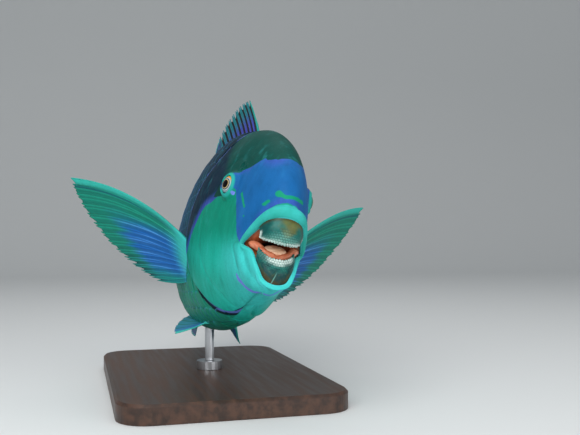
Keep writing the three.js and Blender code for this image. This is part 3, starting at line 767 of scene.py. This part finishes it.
def skin_rings():
    """Rings of the skin from inside the lips to the tail, with distances from the lips' outer edge."""
    turn = circle(COLUMNS)
    upper = ease(np.cos(turn), -0.35, 0.1)
    outward = lerp(0.35, 1, upper)
    lips = np.stack([lip_point(turn, angle * (outward if angle > 0 else 1)) for angle in LIP_ANGLES])
    inside = lips[0] + [0, 7, 0]
    inside[:, 0] *= 0.9
    body, normal = surface(*crossed(body_rings(), turn))
    crease = lerp(lips[-1], body[0], 0.5) - normal[0] * (0.6 * upper)[:, None]
    p = np.concatenate([inside[None], lips, crease[None], body])
    steps = np.linalg.norm(np.diff(p, axis=0), axis=-1)
    run = np.concatenate([np.zeros((1, COLUMNS)), np.cumsum(steps, axis=0)])
    scalars = markings(p)
    scalars["lip"] = run[1 + len(LIP_ANGLES)] - run
    scalars["inward"] = run[1 + LIP_ANGLES.index(LIP_EDGE_ANGLE)] + 0.3 - run
    scalars["upper"] = np.broadcast_to(4 * (upper - 0.5), run.shape)
    scalars["rim"] = 0 * run
    scalars["lid"] = lid_distance(p)
    return p, scalars


def make_skin():
    p, scalars = skin_rings()
    tail = p[-1:].mean(axis=1, keepdims=True)
    p = np.concatenate([p, lerp(tail, p[-1:], 0.5), lerp(tail, p[-1:], 0.02)])
    scalars = {key: np.concatenate([values, values[-1:], values[-1:]]) for key, values in scalars.items()}
    quads = grid_quads(len(p), COLUMNS, wrap=True, flip=True)
    made = new_object("skin", p, quads, SKIN, scalars, shades(p))
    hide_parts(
        "head", "gill_cover_left", "gill_cover_right", "torso", "tail_base", "upper_lip", "lower_lip"
    )


# Scales
SCALE_ALONG = (11.4, 8.4)
SCALE_HIGH = (13.4, 9.0)
SCALE_THICK = 0.16
SCALE_POINTS = 9
SCALE_START, SCALE_END = 58.0, 398
SCALE_ROWS = 8
# Scales keep off the ridges of the back and belly and stop short of the gill cover's edge
SCALE_SHARES = (0.012, 0.985)
BEHIND_GILL = 6.5
# Where the rows' middle line runs, as a share of the way round the side
SIDE_MIDDLE = 0.47
MAP_LENGTH, MAP_HEIGHT = 420, 170


def scale_size(a, sizes):
    """A size of the scales, which shrink towards the tail."""
    return lerp(*sizes, float(ease(a, 130, 400)))


def scale_centres():
    """Centres (a, rows from the middle of the side) of the scales on one side, in staggered rows."""
    starts = [SCALE_START]
    while starts[-1] < SCALE_END - 2:
        starts.append(starts[-1] + scale_size(starts[-1], SCALE_ALONG))
    starts = np.array(starts)
    centres = []
    for row in range(-SCALE_ROWS, SCALE_ROWS + 1):
        staggered = starts + (0.5 * np.gradient(starts) if row % 2 else 0)
        centres += [(a, row) for a in staggered if a < SCALE_END]
    return centres


def side_map():
    """A function from a and the distance round from the side's middle to t, turn and the share round."""
    t = np.linspace(0.2, 1, 300)
    turn = np.linspace(0, math.pi, 241)
    shape = plain_skin(*crossed(t, turn))
    step = np.linalg.norm(np.diff(shape[..., [0, 2]], axis=1), axis=-1)
    arc = np.concatenate([np.zeros((len(t), 1)), np.cumsum(step, axis=1)], axis=1)
    middle = int(SIDE_MIDDLE * len(turn))
    a_middle = shape[:, middle, 1]
    shares = np.linspace(0, 1, 201)
    turn_at = np.stack([np.interp(shares * arc[k, -1], arc[k], turn) for k in range(len(t))])

    def to_skin(a, from_middle):
        at = np.interp(a, a_middle, t)
        row = np.clip((at - t[0]) / (t[1] - t[0]), 0, len(t) - 1.001)
        share = (np.interp(at, t, arc[:, middle]) + from_middle) / np.interp(at, t, arc[:, -1])
        column = np.clip(share, 0.0, 1.0) * 200
        i, j = row.astype(int), np.minimum(column.astype(int), 199)
        here, after = (lerp(turn_at[k, j], turn_at[k, j + 1], column - j) for k in (i, i + 1))
        return at, lerp(here, after, row - i), share

    return to_skin


def make_scales(side, name):
    """The scales of one side in one piece: each is a closed plate that lies along the skin."""
    to_skin = side_map()
    along, across = crossed(np.linspace(-1, 1, SCALE_POINTS), np.linspace(-1, 1, SCALE_POINTS))
    rounded = np.sqrt(1 - (np.clip(along, 0, 1) * 0.9) ** 2)
    rise = (0.05 + 0.42 * (along + 1) / 2 + 0.22 * (1 - across**2)) + 0.05
    flank = np.abs(across) * np.clip(along + 0.6, 0, 1) ** 0.5 * 0.9
    rim = np.maximum(np.clip((along - 0.2) / 0.8, 0, 1), flank)
    all_points, all_faces, all_uv, count = [], [], [], 0
    for a_middle, row in scale_centres():
        length = scale_size(a_middle, SCALE_ALONG)
        high = scale_size(a_middle, SCALE_HIGH)
        t, turn, share = to_skin(np.array(a_middle), np.array(row * high))
        if not SCALE_SHARES[0] < share < SCALE_SHARES[1]:
            continue
        if gill_distance(plain_skin(t, turn)) > -BEHIND_GILL:
            continue
        a = a_middle + length * (0.1 + 0.78 * along)
        t, turn, _ = to_skin(a, row * high + high * 0.6 * across * rounded)
        p, normal = surface(np.minimum(t, 0.9995), turn if side == LEFT else 2 * math.pi - turn)
        points, faces = plate(p + normal * rise[..., None], np.full(along.shape, SCALE_THICK))
        all_points.append(points)
        all_faces.append(faces + count)
        count += len(points)
        u = 0.02 + 0.9 * (a_middle + along * length * 0.42) / MAP_LENGTH
        v = 0.5 * share + across * 0.2 * high / MAP_HEIGHT
        place = np.stack([u, v if side == LEFT else 1 - v], -1)
        all_uv.append(np.tile(place.reshape(-1, 2), (2, 1)))
    points = np.concatenate(all_points)
    scalars = markings(points)
    for key in ("lip", "inward", "upper", "lid"):
        scalars[key] = np.full(len(points), FAR_OFF)
    scalars["rim"] = np.tile(rim.ravel(), 2 * len(all_points))
    faces, uv = np.concatenate(all_faces), np.concatenate(all_uv)
    new_object(name, points, faces, SKIN, scalars, shades(points), uv)


# Mouth
BEAK_TURN = 1.32
UPPER_BEAK = {
    "half": 13, "wrap": 12.4, "root": -4.5, "root_drop": 10, "edge": -24.4, "edge_rise": 3.6,
    "front": 5.4, "bulge": 4.5, "thick": 4.6,
}
LOWER_BEAK = {
    "half": 11.5, "wrap": 10.5, "root": -50, "root_drop": -11, "edge": -33.4, "edge_rise": 6.4,
    "front": 9.3, "bulge": 2.2, "thick": 4.2,
}
TOOTH = 1.5
LINING = [(0, 15, -31.8, 2.5), (7, 16.2, -30, 2.5), (12, 19.6, -26, 2.7), (17, 25, -23.6, 2.8)]
TONGUE_AT, TONGUE_SIZE = np.array([0.5, 23, -28.2]), np.array([9, 9, 5.2])
# The flesh behind the lips narrows to a hole in front of the throat
HOLE_Z, HOLE_A = -26, 25
HOLE_SHARES = (0.62, 0.42)
THROAT = np.array([0, 52, HOLE_Z])
# The flesh's rings: how far each is from the lips to the hole, and on to the throat
FLESH_RINGS = [
    *((inner, 0) for inner in (0, 0.12, 0.3, 0.5, 0.7, 0.88, 1)),
    *((1, deep) for deep in (0.15, 0.4, 0.7, 0.98)),
]
BEAK_TOP = hexed("5c6234")
BEAK_SIDE = hexed("0e625a")
BEAK_DARK = hexed("043c3c")
BEAK_ROOT = hexed("3c2e0c")
BEAK_PALE = hexed("6fa89c")
BEAK_WHITE = hexed("c8d8d2")
FLESH_BROWN = hexed("80481c")
FLESH_ORANGE = hexed("b55a34")
FLESH_PALE = hexed("d68a68")
# Painted shade deep in the throat
THROAT_SHADE = hexed("120605")
TONGUE_PEACH = hexed("e6bd9c")


def wobble(a, b, size, seed):
    """Smooth noise from -1 to 1 on two coordinates."""
    total = 0
    for k in range(1, 5):
        total = total + np.sin(a * k * 1.7 / size + seed + 2.1 * np.sin(b * k * 1.3 / size + k)) / k
        total = total + np.sin(b * k * 1.9 / size - seed + 1.7 * np.sin(a * k * 1.1 / size - k)) / k
    return total / 4


def make_beak(name, size, upper):
    """A dental plate with rows of small teeth towards its cutting edge: v runs to the edge, u across."""
    rows, columns = 72, 170
    v, u = crossed(np.linspace(0, 1, rows), np.linspace(-1, 1, columns))
    turn = u * BEAK_TURN
    arc = u * size["half"] * 1.25
    up = v * abs(size["edge"] - size["root"])
    row = np.floor(up / TOOTH)
    cell_u = np.mod(arc / TOOTH + 0.5 * np.mod(row, 2), 1) - 0.5
    cell_v = up / TOOTH - row - 0.5
    pebble = np.clip(1 - (cell_u**2 + cell_v**2) * 3.6, 0, 1)
    mottle = wobble(arc, up, 4.0, 3)
    low = v - 0.3 * np.abs(u) if upper else v
    toothed = ease(low + 0.08 * mottle, 0.42, 0.7)
    saw = 0.42 * np.cos(2 * math.pi * arc / (TOOTH * 1.25)) + 0.5 * wobble(arc, arc, 3, 7)
    saw = saw * ease(v, 0.86, 1)
    root = size["root"] - size["root_drop"] * u * u
    edge = size["edge"] + size["edge_rise"] * u * u
    z = lerp(root, edge, v) + saw * (1 if upper else -1)
    x = size["half"] * lerp(0.94, 1, v) * np.sin(turn) / math.sin(BEAK_TURN)
    a = size["front"] - size["bulge"] * np.sin(math.pi * (0.1 + 0.72 * v)) + size["wrap"] * (1 - np.cos(turn))
    p = np.stack([x, a, z], -1)
    normal = grid_normals(p)
    normal *= np.sign(-normal[rows // 2, columns // 2, 1])
    bumps = 0.3 * pebble * toothed + 0.2 * wobble(arc, up, 5, 1) * (1 - toothed)
    points, faces = plate(p + normal * (bumps / 2)[..., None], lerp(size["thick"], 1.2, v * v) + bumps)
    tint = upper_tint(u, v, pebble, mottle) if upper else lower_tint(u, v, arc, pebble, mottle)
    made = tinted(name, points, faces, BEAK, tint, faces_both=True)
    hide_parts(name)


def upper_tint(u, v, pebble, mottle):
    """Olive in the middle and dark green at the sides, with a pale, toothed edge, painted shade between its
    teeth, and a brown root.
    """
    low = v - 0.3 * np.abs(u)
    olive = ease(0.8 - np.abs(u - 0.15) - 0.7 * v + 0.3 * mottle, 0, 0.5)
    toothed = ease(low + 0.08 * mottle, 0.4, 0.62)
    sides = ease(np.abs(u) + 0.08 * mottle, 0.82, 0.95) * ease(v, 0.45, 0.6)
    return painted(
        BEAK_SIDE,
        (BEAK_TOP, olive),
        (BEAK_DARK, ease(np.abs(u - 0.1) + 0.25 * mottle, 0.4, 0.85) * 0.75),
        # Painted shade in the grooves between the teeth
        (BEAK_DARK, toothed * (1 - pebble) * 0.6),
        (BEAK_PALE, ease(low, 0.45, 0.85) * pebble * 0.75),
        (BEAK_WHITE, ease(v + 0.06 * mottle, 0.84, 0.97) * (0.25 + 0.6 * pebble)),
        (BEAK_WHITE, sides * 0.8),
        (BEAK_ROOT, (1 - ease(v + 0.04 * mottle, 0.16, 0.34)) * 0.85),
    )


def lower_tint(u, v, arc, pebble, mottle):
    """Dark green and brown with a pale suture up the middle, under a white, toothed edge."""
    speck = ease(wobble(arc, 12 * v, 0.8, 11), 0.35, 0.8)
    from_suture = np.abs(arc + 4.5 * np.maximum(0.55 - v, 0))
    suture = (1 - ease(from_suture, 0.12, 0.4)) * ease(0.55 - v, 0, 0.2)
    band = ease(v + 0.06 * mottle, 0.7, 0.88) * (1 - ease(np.abs(u - 0.15), 0.4, 0.78))
    return painted(
        BEAK_DARK,
        (BEAK_SIDE, ease(mottle + v, 0.2, 1.2)),
        (BEAK_ROOT * 1.3, ease(0.6 - v + 0.35 * mottle, 0.1, 0.5) * 0.8),
        (BEAK_TOP, speck * 0.45 * (1 - ease(v, 0.5, 0.75))),
        (BEAK_PALE, suture * 0.6),
        (BEAK_PALE, ease(v, 0.6, 0.9) * pebble * 0.35),
        (BEAK_WHITE, band * (0.12 + 0.8 * pebble)),
        (BEAK_ROOT * 0.5, (1 - ease(v, 0.02, 0.12)) * 0.8),
    )


def make_mouth_lining():
    """Flesh from behind the lips back into the throat, darkened towards it with painted shade."""
    turn = circle(COLUMNS // 2)
    rim = lip_point(turn, -150, 0.9)
    hole = rows_of(rim[:, 0] * HOLE_SHARES[0], HOLE_A, HOLE_Z + (rim[:, 2] - HOLE_Z) * HOLE_SHARES[1])
    rings, tints = [], []
    for k, (inner, deep) in enumerate(FLESH_RINGS):
        ring = lerp(rim, hole, inner)
        ring[:, 1] = rim[:, 1] + np.maximum(hole[:, 1] - rim[:, 1], 1) * (0.25 * inner + 0.75 * inner**3)
        ring = lerp(ring, THROAT, deep)
        lumps = 0.7 * wobble(turn * 9, np.full(turn.shape, 4.0 * k), 3, 2)
        lumps = lumps * math.sin(math.pi * min(inner, 0.9) / 1.1)
        rings.append(ring + lumps[:, None] * [0.4, 1, 0.4])
        orange = ease(0.7 * inner + 0.4 * wobble(turn * 6, turn, 2, k), 0.1, 0.6)
        # Painted shade, deepening into the throat
        dark = ease(deep + 0 * turn, 0.02, 0.45)
        tints.append(painted(FLESH_BROWN, (FLESH_ORANGE, orange), (THROAT_SHADE, dark)))
    quads = grid_quads(len(rings), len(turn), wrap=True)
    made = tinted("mouth_lining_shell", np.stack(rings), quads, FLESH, np.stack(tints))
    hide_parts("mouth_lining")


def make_mouth_roll():
    """The roll of flesh inside the lower beak."""
    line = np.array([*[(-x, *rest) for x, *rest in LINING[:0:-1]], *LINING], float)
    along = np.linspace(0, 1, 120)
    middle = spline(line, along)
    radius = middle[:, 3] * np.clip(1 - np.abs(2 * along - 1) ** 10, 0.05, 1)
    turn = circle(32)
    tangent = unit(np.gradient(middle[:, :3], axis=0))
    out = facing_ahead(tangent)
    across = np.cross(tangent, out)
    ring = np.cos(turn)[None, :, None] * out[:, None] + np.sin(turn)[None, :, None] * across[:, None]
    lumps = 1 + 0.22 * wobble(along[:, None] * 60, turn[None] * 3, 4, 5)
    p = middle[:, None, :3] + ring * (radius[:, None] * lumps)[..., None]
    tint = painted(FLESH_ORANGE, (FLESH_PALE, 0.5 + 0.5 * wobble(along[:, None] * 80, turn[None] * 4, 5, 8)))
    tinted("mouth_roll", p, grid_quads(len(along), len(turn), wrap=True), FLESH, tint)


def make_tongue():
    v, u = crossed(np.linspace(0, math.pi, 40), circle(60))
    ball = np.stack([np.sin(v) * np.cos(u), np.sin(v) * np.sin(u), np.cos(v)], -1)
    p = TONGUE_AT + ball * TONGUE_SIZE * (1 + 0.04 * wobble(u * 4, v * 4, 1, 1))[..., None]
    tint = painted(TONGUE_PEACH, (FLESH_PALE, ease(wobble(u * 5, v * 5, 1.5, 4), 0.1, 0.6) * 0.6))
    made = tinted("tongue_flesh", p, grid_quads(*v.shape, wrap=True), FLESH, tint)
    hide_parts("tongue")


# Eyes: colours of the iris by the distance from the middle of the pupil
IRIS = [
    (0, "010102"), (2.7, "010102"), (2.85, "a8843e"), (3.15, "b9b090"), (3.4, "5a6264"),
    (3.6, "0c1012"), (3.85, "0c1012"), (4.05, "9caab0"), (4.5, "a9b9bf"), (4.75, "2c4046"),
    (4.95, "8ca0a8"), (5.5, "6d8890"), (6.0, "0a2a30"), (6.5, "0c5048"), (7.4, "1a8478"),
]
IRIS_ORANGE = hexed("e0921a")
EYE_TILT = 0.5


def make_eye(side, name):
    """An eyeball with its iris: v runs from the middle of the pupil to the back of the eye."""
    v, u = crossed(np.linspace(0, math.pi, 150), circle(96))
    look = unit(IRIS_LOOK[side])
    upward = unit(np.array([0.0, 0, 1]) - look * look[2])
    across = np.cross(look, upward)
    radius = EYE_RADIUS + 0.5 * bell(v, 0.5)
    ball = (
        EYE_FLAT * np.cos(v)[..., None] * look
        + (np.sin(v) * np.cos(u))[..., None] * upward
        + (np.sin(v) * np.sin(u))[..., None] * across
    )
    p = eye_centre(side) + ball * radius[..., None]
    rings = [distance for distance, _ in IRIS]
    colours = np.stack([hexed(code) for _, code in IRIS])
    flat = np.where(v < math.pi / 2, EYE_RADIUS * np.sin(v), rings[-1])
    tint = np.stack([np.interp(flat, rings, colours[:, k]) for k in range(3)], -1)
    upper = ease(np.cos(u - side * EYE_TILT), -0.2, 0.4)
    band = ease(flat, 4.65, 4.85) * (1 - ease(flat, 5.9, 6.1))
    tint = painted(tint, (IRIS_ORANGE, upper * band))
    made = tinted(name + "_ball", p, grid_quads(*v.shape, wrap=True), EYE, tint)
    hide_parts(name)


# Fins
PECTORAL_RAYS = 13
PECTORAL = {"at": 138, "top": -21, "bottom": -46, "length": 118}
PECTORAL_LEAD = {RIGHT: np.array([99.0, 35, 40]), LEFT: np.array([80.0, 35, 66])}
PECTORAL_TRAIL = np.array([26.0, 38, -4])
SINK = 5
FIN_TEAL = hexed("1c8f86")
FIN_GREEN = hexed("129068")
FIN_BLUE = hexed("1a66b4")
FIN_LIGHT = hexed("4d93dc")
FIN_DARK = hexed("0a3a5e")
FIN_EDGE = hexed("3cc0b4")
SPINE_VIOLET = hexed("4a55c0")
SPINE_TEAL = hexed("178791")
WEB_DARK = hexed("03060c")


def fan(last, steps=12):
    """Places across a fin, with a ray at each whole number up to the last, and the same from 0 to 1."""
    rays = np.linspace(0, last, last * steps + 1)
    return rays, rays / last


def ray_points(root, reach, bow, v):
    """Points along curved rays: root, reach and bow have one row for each column of the fin."""
    middle = root + reach / 2 + bow
    v = v[:, None, None]
    return (1 - v) ** 2 * root + 2 * v * (1 - v) * middle + v**2 * (root + reach)


WEB_THICK = 0.45


def build_fin(name, rays, root, reach, bow, tint, thick=(1.5, 0.5), root_thick=3, rows=40, fringe=0.03):
    """A fin with a ridge at each whole number in rays, which forks towards the tip."""
    v = np.linspace(0, 1, rows)
    phase = np.abs(rays - np.round(rays))
    fork = ease(v, 0.3, 0.6)[:, None]
    ridge = bell(np.abs(phase[None] - 0.17 * fork), lerp(0.11, 0.09, fork))
    ragged = fringe * (1 + 0.8 * wobble(rays * 3, rays, 1, 9))
    reach = reach * (1 - ragged * (1 - ridge[-1]))[:, None]
    blade = WEB_THICK + (lerp(*thick, v)[:, None] - WEB_THICK) * ridge
    blade = np.maximum(blade, root_thick * (1 - ease(v, 0.0, 0.22))[:, None])
    points, faces = plate(ray_points(root, reach, bow, v), blade)
    across, along, phase = (np.broadcast_to(g, blade.shape) for g in (rays / rays.max(), v[:, None], phase))
    shade = tint(across, along, ridge, phase)
    made = tinted(name + "_blade", points, faces, FIN, shade, faces_both=True)
    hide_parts(name)


def pectoral_tint(across, along, ridge, _):
    """Green along its leading edge and tip, streaked blue in the middle, teal behind, pale at the root."""
    drift = across + 0.06 * wobble(along * 9, across * 9, 3, 6)
    blue = ease(drift, 0.16, 0.36) * (1 - ease(drift, 0.72, 0.92))
    end = 1 - ease(along + 0.08 * wobble(across * 60, along, 2, 5), 0.66, 0.86)
    blue = blue * end * ease(along, 0.04, 0.25)
    streak = ease(wobble(across * 46, along * 1.5, 1.1, 2), -0.35, 0.5)
    middle = painted(FIN_BLUE, (FIN_LIGHT, np.clip(ridge * 0.8 * streak + 0.25 * streak, 0, 1)))
    behind = ease(across, 0.5, 0.8)
    root = 1 - ease(along, 0.04, 0.3)
    return painted(
        FIN_GREEN,
        (FIN_TEAL, np.clip(ridge * 0.6 + ease(across, 0.55, 0.9), 0, 1)),
        (middle, blue),
        (FIN_DARK, (1 - ridge) * 0.45),
        (FIN_DARK, bell(across - 0.075, 0.014) * 0.5),
        (FIN_EDGE, (1 - ease(across, 0.02, 0.07)) * 0.65),
        (FIN_LIGHT, (1 - ease(along, 0.05, 0.3)) * behind * 0.7),
        (WEB_DARK, (1 - ridge) * 0.6 * ease(along, 0.7, 1) * behind),
        (CHIN, root * (1 - ease(across, 0.6, 1.0)) * 0.75),
    )


def make_pectoral(side, name):
    rays, down = fan(PECTORAL_RAYS, 18)
    z = lerp(PECTORAL["top"], PECTORAL["bottom"], down)
    at = PECTORAL["at"] + 4 * down
    length = PECTORAL["length"] * lerp(1, 0.36, down**1.35)
    reach = lerp(unit(PECTORAL_LEAD[side]), unit(PECTORAL_TRAIL), down[:, None])
    reach = unit(reach) * length[:, None] * [side, 1, 1]
    root = rows_of(side * (half_width(at, z) - SINK), at, z)
    bow = rows_of(0, -5 * (1 - down), 22 * (1 - 1.2 * down))
    fringe = 0.022 + 0.1 * down**2
    build_fin(name, rays, root, reach, bow, pectoral_tint, root_thick=7, rows=80, fringe=fringe)


def pelvic_tint(across, along, ridge, _):
    return painted(
        FIN_BLUE,
        (FIN_TEAL, ease(across + 0.4 * along, 0.2, 0.9)),
        (FIN_LIGHT, ridge * 0.5),
        (FIN_DARK, (1 - ridge) * 0.4),
        (FIN_EDGE, 1 - ease(across, 0.08, 0.16)),
    )


def make_pelvic(side, name):
    rays, inward = fan(5)
    length = lerp(44, 68, np.sin(math.pi * np.minimum(1, 0.12 + inward * 0.62)))
    reach = rows_of(lerp(13, 9, inward), lerp(35, 46, inward), lerp(-10, 3, inward))
    reach = unit(reach) * length[:, None] * [side, 1, 1] - [0, 0, 1]
    root = rows_of(side * lerp(11, 5, inward), lerp(139, 147, inward), -76)
    bow = rows_of(0 * inward, 0, -2)
    build_fin(name, rays, root, reach, bow, pelvic_tint, root_thick=4, rows=48)


def spiny_tint(across, along, ridge, phase):
    """Violet spines, teal at their tips, with near-black between them, behind a turquoise first spine."""
    stripe = 1 - ease(phase, 0.24, 0.34)
    spine = painted(SPINE_VIOLET, (SPINE_TEAL, ease(along, 0.35, 0.8)))
    first = 1 - ease(across, 0.028, 0.04)
    return painted(WEB_DARK, (spine, stripe * (0.55 + 0.45 * ridge)), (FIN_TEAL, first))


def soft_tint(across, along, ridge, _):
    return painted(
        FIN_DARK,
        (SPINE_VIOLET, ridge * 0.8),
        (FIN_TEAL, bell(along - 0.62, 0.2) * (0.45 + 0.4 * ridge)),
        (FIN_EDGE, ease(along, 0.93, 0.98) * 0.8),
    )


def edge_z(a, up):
    """Height of the back (up 1) or of the belly (up -1) at a."""
    s = spline(SECTIONS, np.linspace(0, 1, 2000))
    return np.interp(a, s[:, 0], s[:, 1]) if up > 0 else np.interp(a, s[:, 2], s[:, 3])


def make_median(name, last, up, span, lean, back, high, bow, tint, **looks):
    """A fin on the back (up 1) or under the tail (up -1): span, lean and back are for its two end rays."""
    rays, along = fan(last)
    a = lerp(*span, along)
    root = rows_of(0, a, edge_z(a, up) - up * SINK)
    reach = rows_of(lerp(*lean, along), lerp(*back, along), up * (high(along) + SINK))
    build_fin(name, rays, root, reach, rows_of(0 * a, *bow), tint, **looks)


def make_median_fins():
    make_median(
        "dorsal_fin_spiny", 9, 1, (120, 234.1), (-6, -10), (33, 26), lambda along: lerp(35, 32, along),
        (-3, 2), spiny_tint, thick=(2.0, 0.8), fringe=0.12,
    )
    make_median(
        "dorsal_fin_soft", 10, 1, (234.2, 350), (-10, -3), (26, 34),
        lambda along: lerp(32, 24, along) + 4 * np.sin(math.pi * along), (-3, 1), soft_tint,
    )
    make_median(
        "anal_fin", 11, -1, (250, 345), (1, 1), (16, 30),
        lambda along: lerp(22, 32, np.minimum(1, along * 3)) - 8 * along, (-2, -1), soft_tint,
    )


def tail_tint(across, along, ridge, _):
    return painted(
        FIN_BLUE,
        (FIN_LIGHT, ridge * 0.45),
        (FIN_TEAL, ease(along, 0.55, 0.9) * 0.8),
        (FIN_EDGE, 1 - ease(across, 0.05, 0.11)),
        (FIN_TEAL, (1 - ease(along, 0.0, 0.3)) * 0.7),
    )


def make_tail(up, name):
    """The upper (up 1) or lower (up -1) half of the crescent tail fin."""
    rays, inward = fan(6, 14)
    outward = 1 - inward
    spread = lerp(0, 74, outward**0.9)
    high = lerp(0, 26, outward)
    root = rows_of(0, 393 + 4 * inward, up * high)
    reach = rows_of(0, lerp(62, 104, outward**2.2), up * (spread - high))
    bow = rows_of(0, 4, up * 5 * outward)
    build_fin(name, rays, root, reach, bow, tail_tint, root_thick=5, rows=60)


# Stand
def dress_stand():
    wood = Nodes("stand_wood")
    grain = wood.noise(34, (6, 0.35, 6), 6)
    shade = wood.mix(wood.ramp(grain, 0.3, 0.7), hexed("2c1c14"), hexed("4a3022"))
    wood.finish(shade, wood.ramp(grain, 0.3, 0.7, 0.38, 0.5), grain, 0.06)
    steel = Nodes("stand_steel")
    steel.finish(hexed("b9bcc0"), 0.28, steel.noise(400, (1, 1, 12)), 0.05, Metallic=1.0)
    for node, made in (("stand_base", wood), ("stand_ferrule", steel), ("stand_rod", steel)):
        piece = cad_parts[node]
        piece.data.materials.clear()
        piece.data.materials.append(made.material)


# Setting, in metres
FLOOR = {"front": -3, "end": 2.2, "bend": 1.1, "high": 3, "half": 7.0, "under": 0.0002}
FLOOR_BEND = (0.45, 0.65)
FLOOR_ROWS = 60
CAMERA_TURN = math.radians(-16)
CAMERA_DISTANCE = 0.45
FOCAL = 716
SENSOR = 36
FRAME_SIZE = (580, 435)
MOUTH_PIXEL = (282, 245)
SAMPLES = 192
SKY, SKY_STRENGTH = (0.95, 0.97, 1, 1), 0.45


def make_floor():
    """A pale floor that curves up into a backdrop."""
    run = np.linspace(0, 1, FLOOR_ROWS)
    start, stop = FLOOR_BEND
    turn = np.clip((run - start) / (stop - start), 0, 1) * math.pi / 2
    rise = np.clip((run - stop) / (1 - stop), 0, 1) * FLOOR["high"]
    flat = lerp(FLOOR["front"], FLOOR["end"], run / start)
    y = np.where(run < start, flat, FLOOR["end"] + FLOOR["bend"] * np.sin(turn))
    z = np.where(run < start, 0, FLOOR["bend"] * (1 - np.cos(turn)) + rise)
    x = np.array([-FLOOR["half"], FLOOR["half"]])
    points = rows_of(x, y[:, None], z[:, None] - FLOOR["under"])
    mesh = bpy.data.meshes.new("floor")
    mesh.from_pydata(points.reshape(-1, 3).tolist(), [], grid_quads(FLOOR_ROWS, 2).tolist())
    for face in mesh.polygons:
        face.use_smooth = True
    floor = bpy.data.objects.new("floor", mesh)
    bpy.context.scene.collection.objects.link(floor)
    pale = Nodes("floor")
    mesh.materials.append(pale.finish(hexed("d9dcdc"), 0.75))


def add_light(name, place, target, size, power):
    data = bpy.data.lights.new(name, "AREA")
    data.energy, data.size = power, size
    lamp = bpy.data.objects.new(name, data)
    lamp.location = place
    lamp.rotation_euler = (Vector(target) - Vector(place)).to_track_quat("-Z", "Y").to_euler()
    bpy.context.scene.collection.objects.link(lamp)


def set_camera():
    """The photo's camera; gives the mouth's place and the way back from it to the camera."""
    scene = bpy.context.scene
    width, height = FRAME_SIZE
    mouth = placed(np.array([0, 5, -24.0]))
    back = np.array([math.sin(CAMERA_TURN), -math.cos(CAMERA_TURN), 0])
    data = bpy.data.cameras.new("camera")
    data.sensor_width = SENSOR
    data.lens = FOCAL / width * SENSOR
    data.shift_x = (width / 2 - MOUTH_PIXEL[0]) / width
    data.shift_y = (MOUTH_PIXEL[1] - height / 2) / width
    data.clip_start = 0.02
    camera = bpy.data.objects.new("camera", data)
    camera.location = mouth + back * CAMERA_DISTANCE
    camera.rotation_mode = "QUATERNION"
    camera.rotation_quaternion = Vector(-back).to_track_quat("-Z", "Y")
    scene.collection.objects.link(camera)
    scene.camera = camera
    scene.render.resolution_x, scene.render.resolution_y = width, height
    scene.render.engine = "CYCLES"
    scene.cycles.samples = SAMPLES
    scene.cycles.use_denoising = True
    scene.view_settings.view_transform = "Standard"
    return mouth, back


def light_scene(mouth, back):
    """A key light high on one side, a softer fill on the other, one from above and a pale sky."""
    add_light("key", mouth + back * 0.6 + np.array([-0.3, -0.1, 0.55]), mouth, 0.8, 10.5)
    add_light("fill", mouth + back * 0.8 + np.array([0.8, -0.1, -0.02]), mouth, 0.9, 6)
    add_light("top", (0.1, 0.3, 1.5), (0, 0.2, 0.1), 1.4, 5.5)
    world = bpy.data.worlds.new("studio")
    bpy.context.scene.world = world
    world.use_nodes = True
    background = world.node_tree.nodes["Background"]
    background.inputs["Color"].default_value = SKY
    background.inputs["Strength"].default_value = SKY_STRENGTH


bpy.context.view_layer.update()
make_skin()
make_scales(RIGHT, "scales_right")
make_scales(LEFT, "scales_left")
make_beak("upper_beak", UPPER_BEAK, True)
make_beak("lower_beak", LOWER_BEAK, False)
make_mouth_lining()
make_mouth_roll()
make_tongue()
for side, word in ((LEFT, "left"), (RIGHT, "right")):
    make_eye(side, "eye_" + word)
    make_pectoral(side, "pectoral_fin_" + word)
    make_pelvic(side, "pelvic_fin_" + word)
make_median_fins()
make_tail(1, "tail_fin_upper")
make_tail(-1, "tail_fin_lower")
dress_stand()
make_floor()
light_scene(*set_camera())
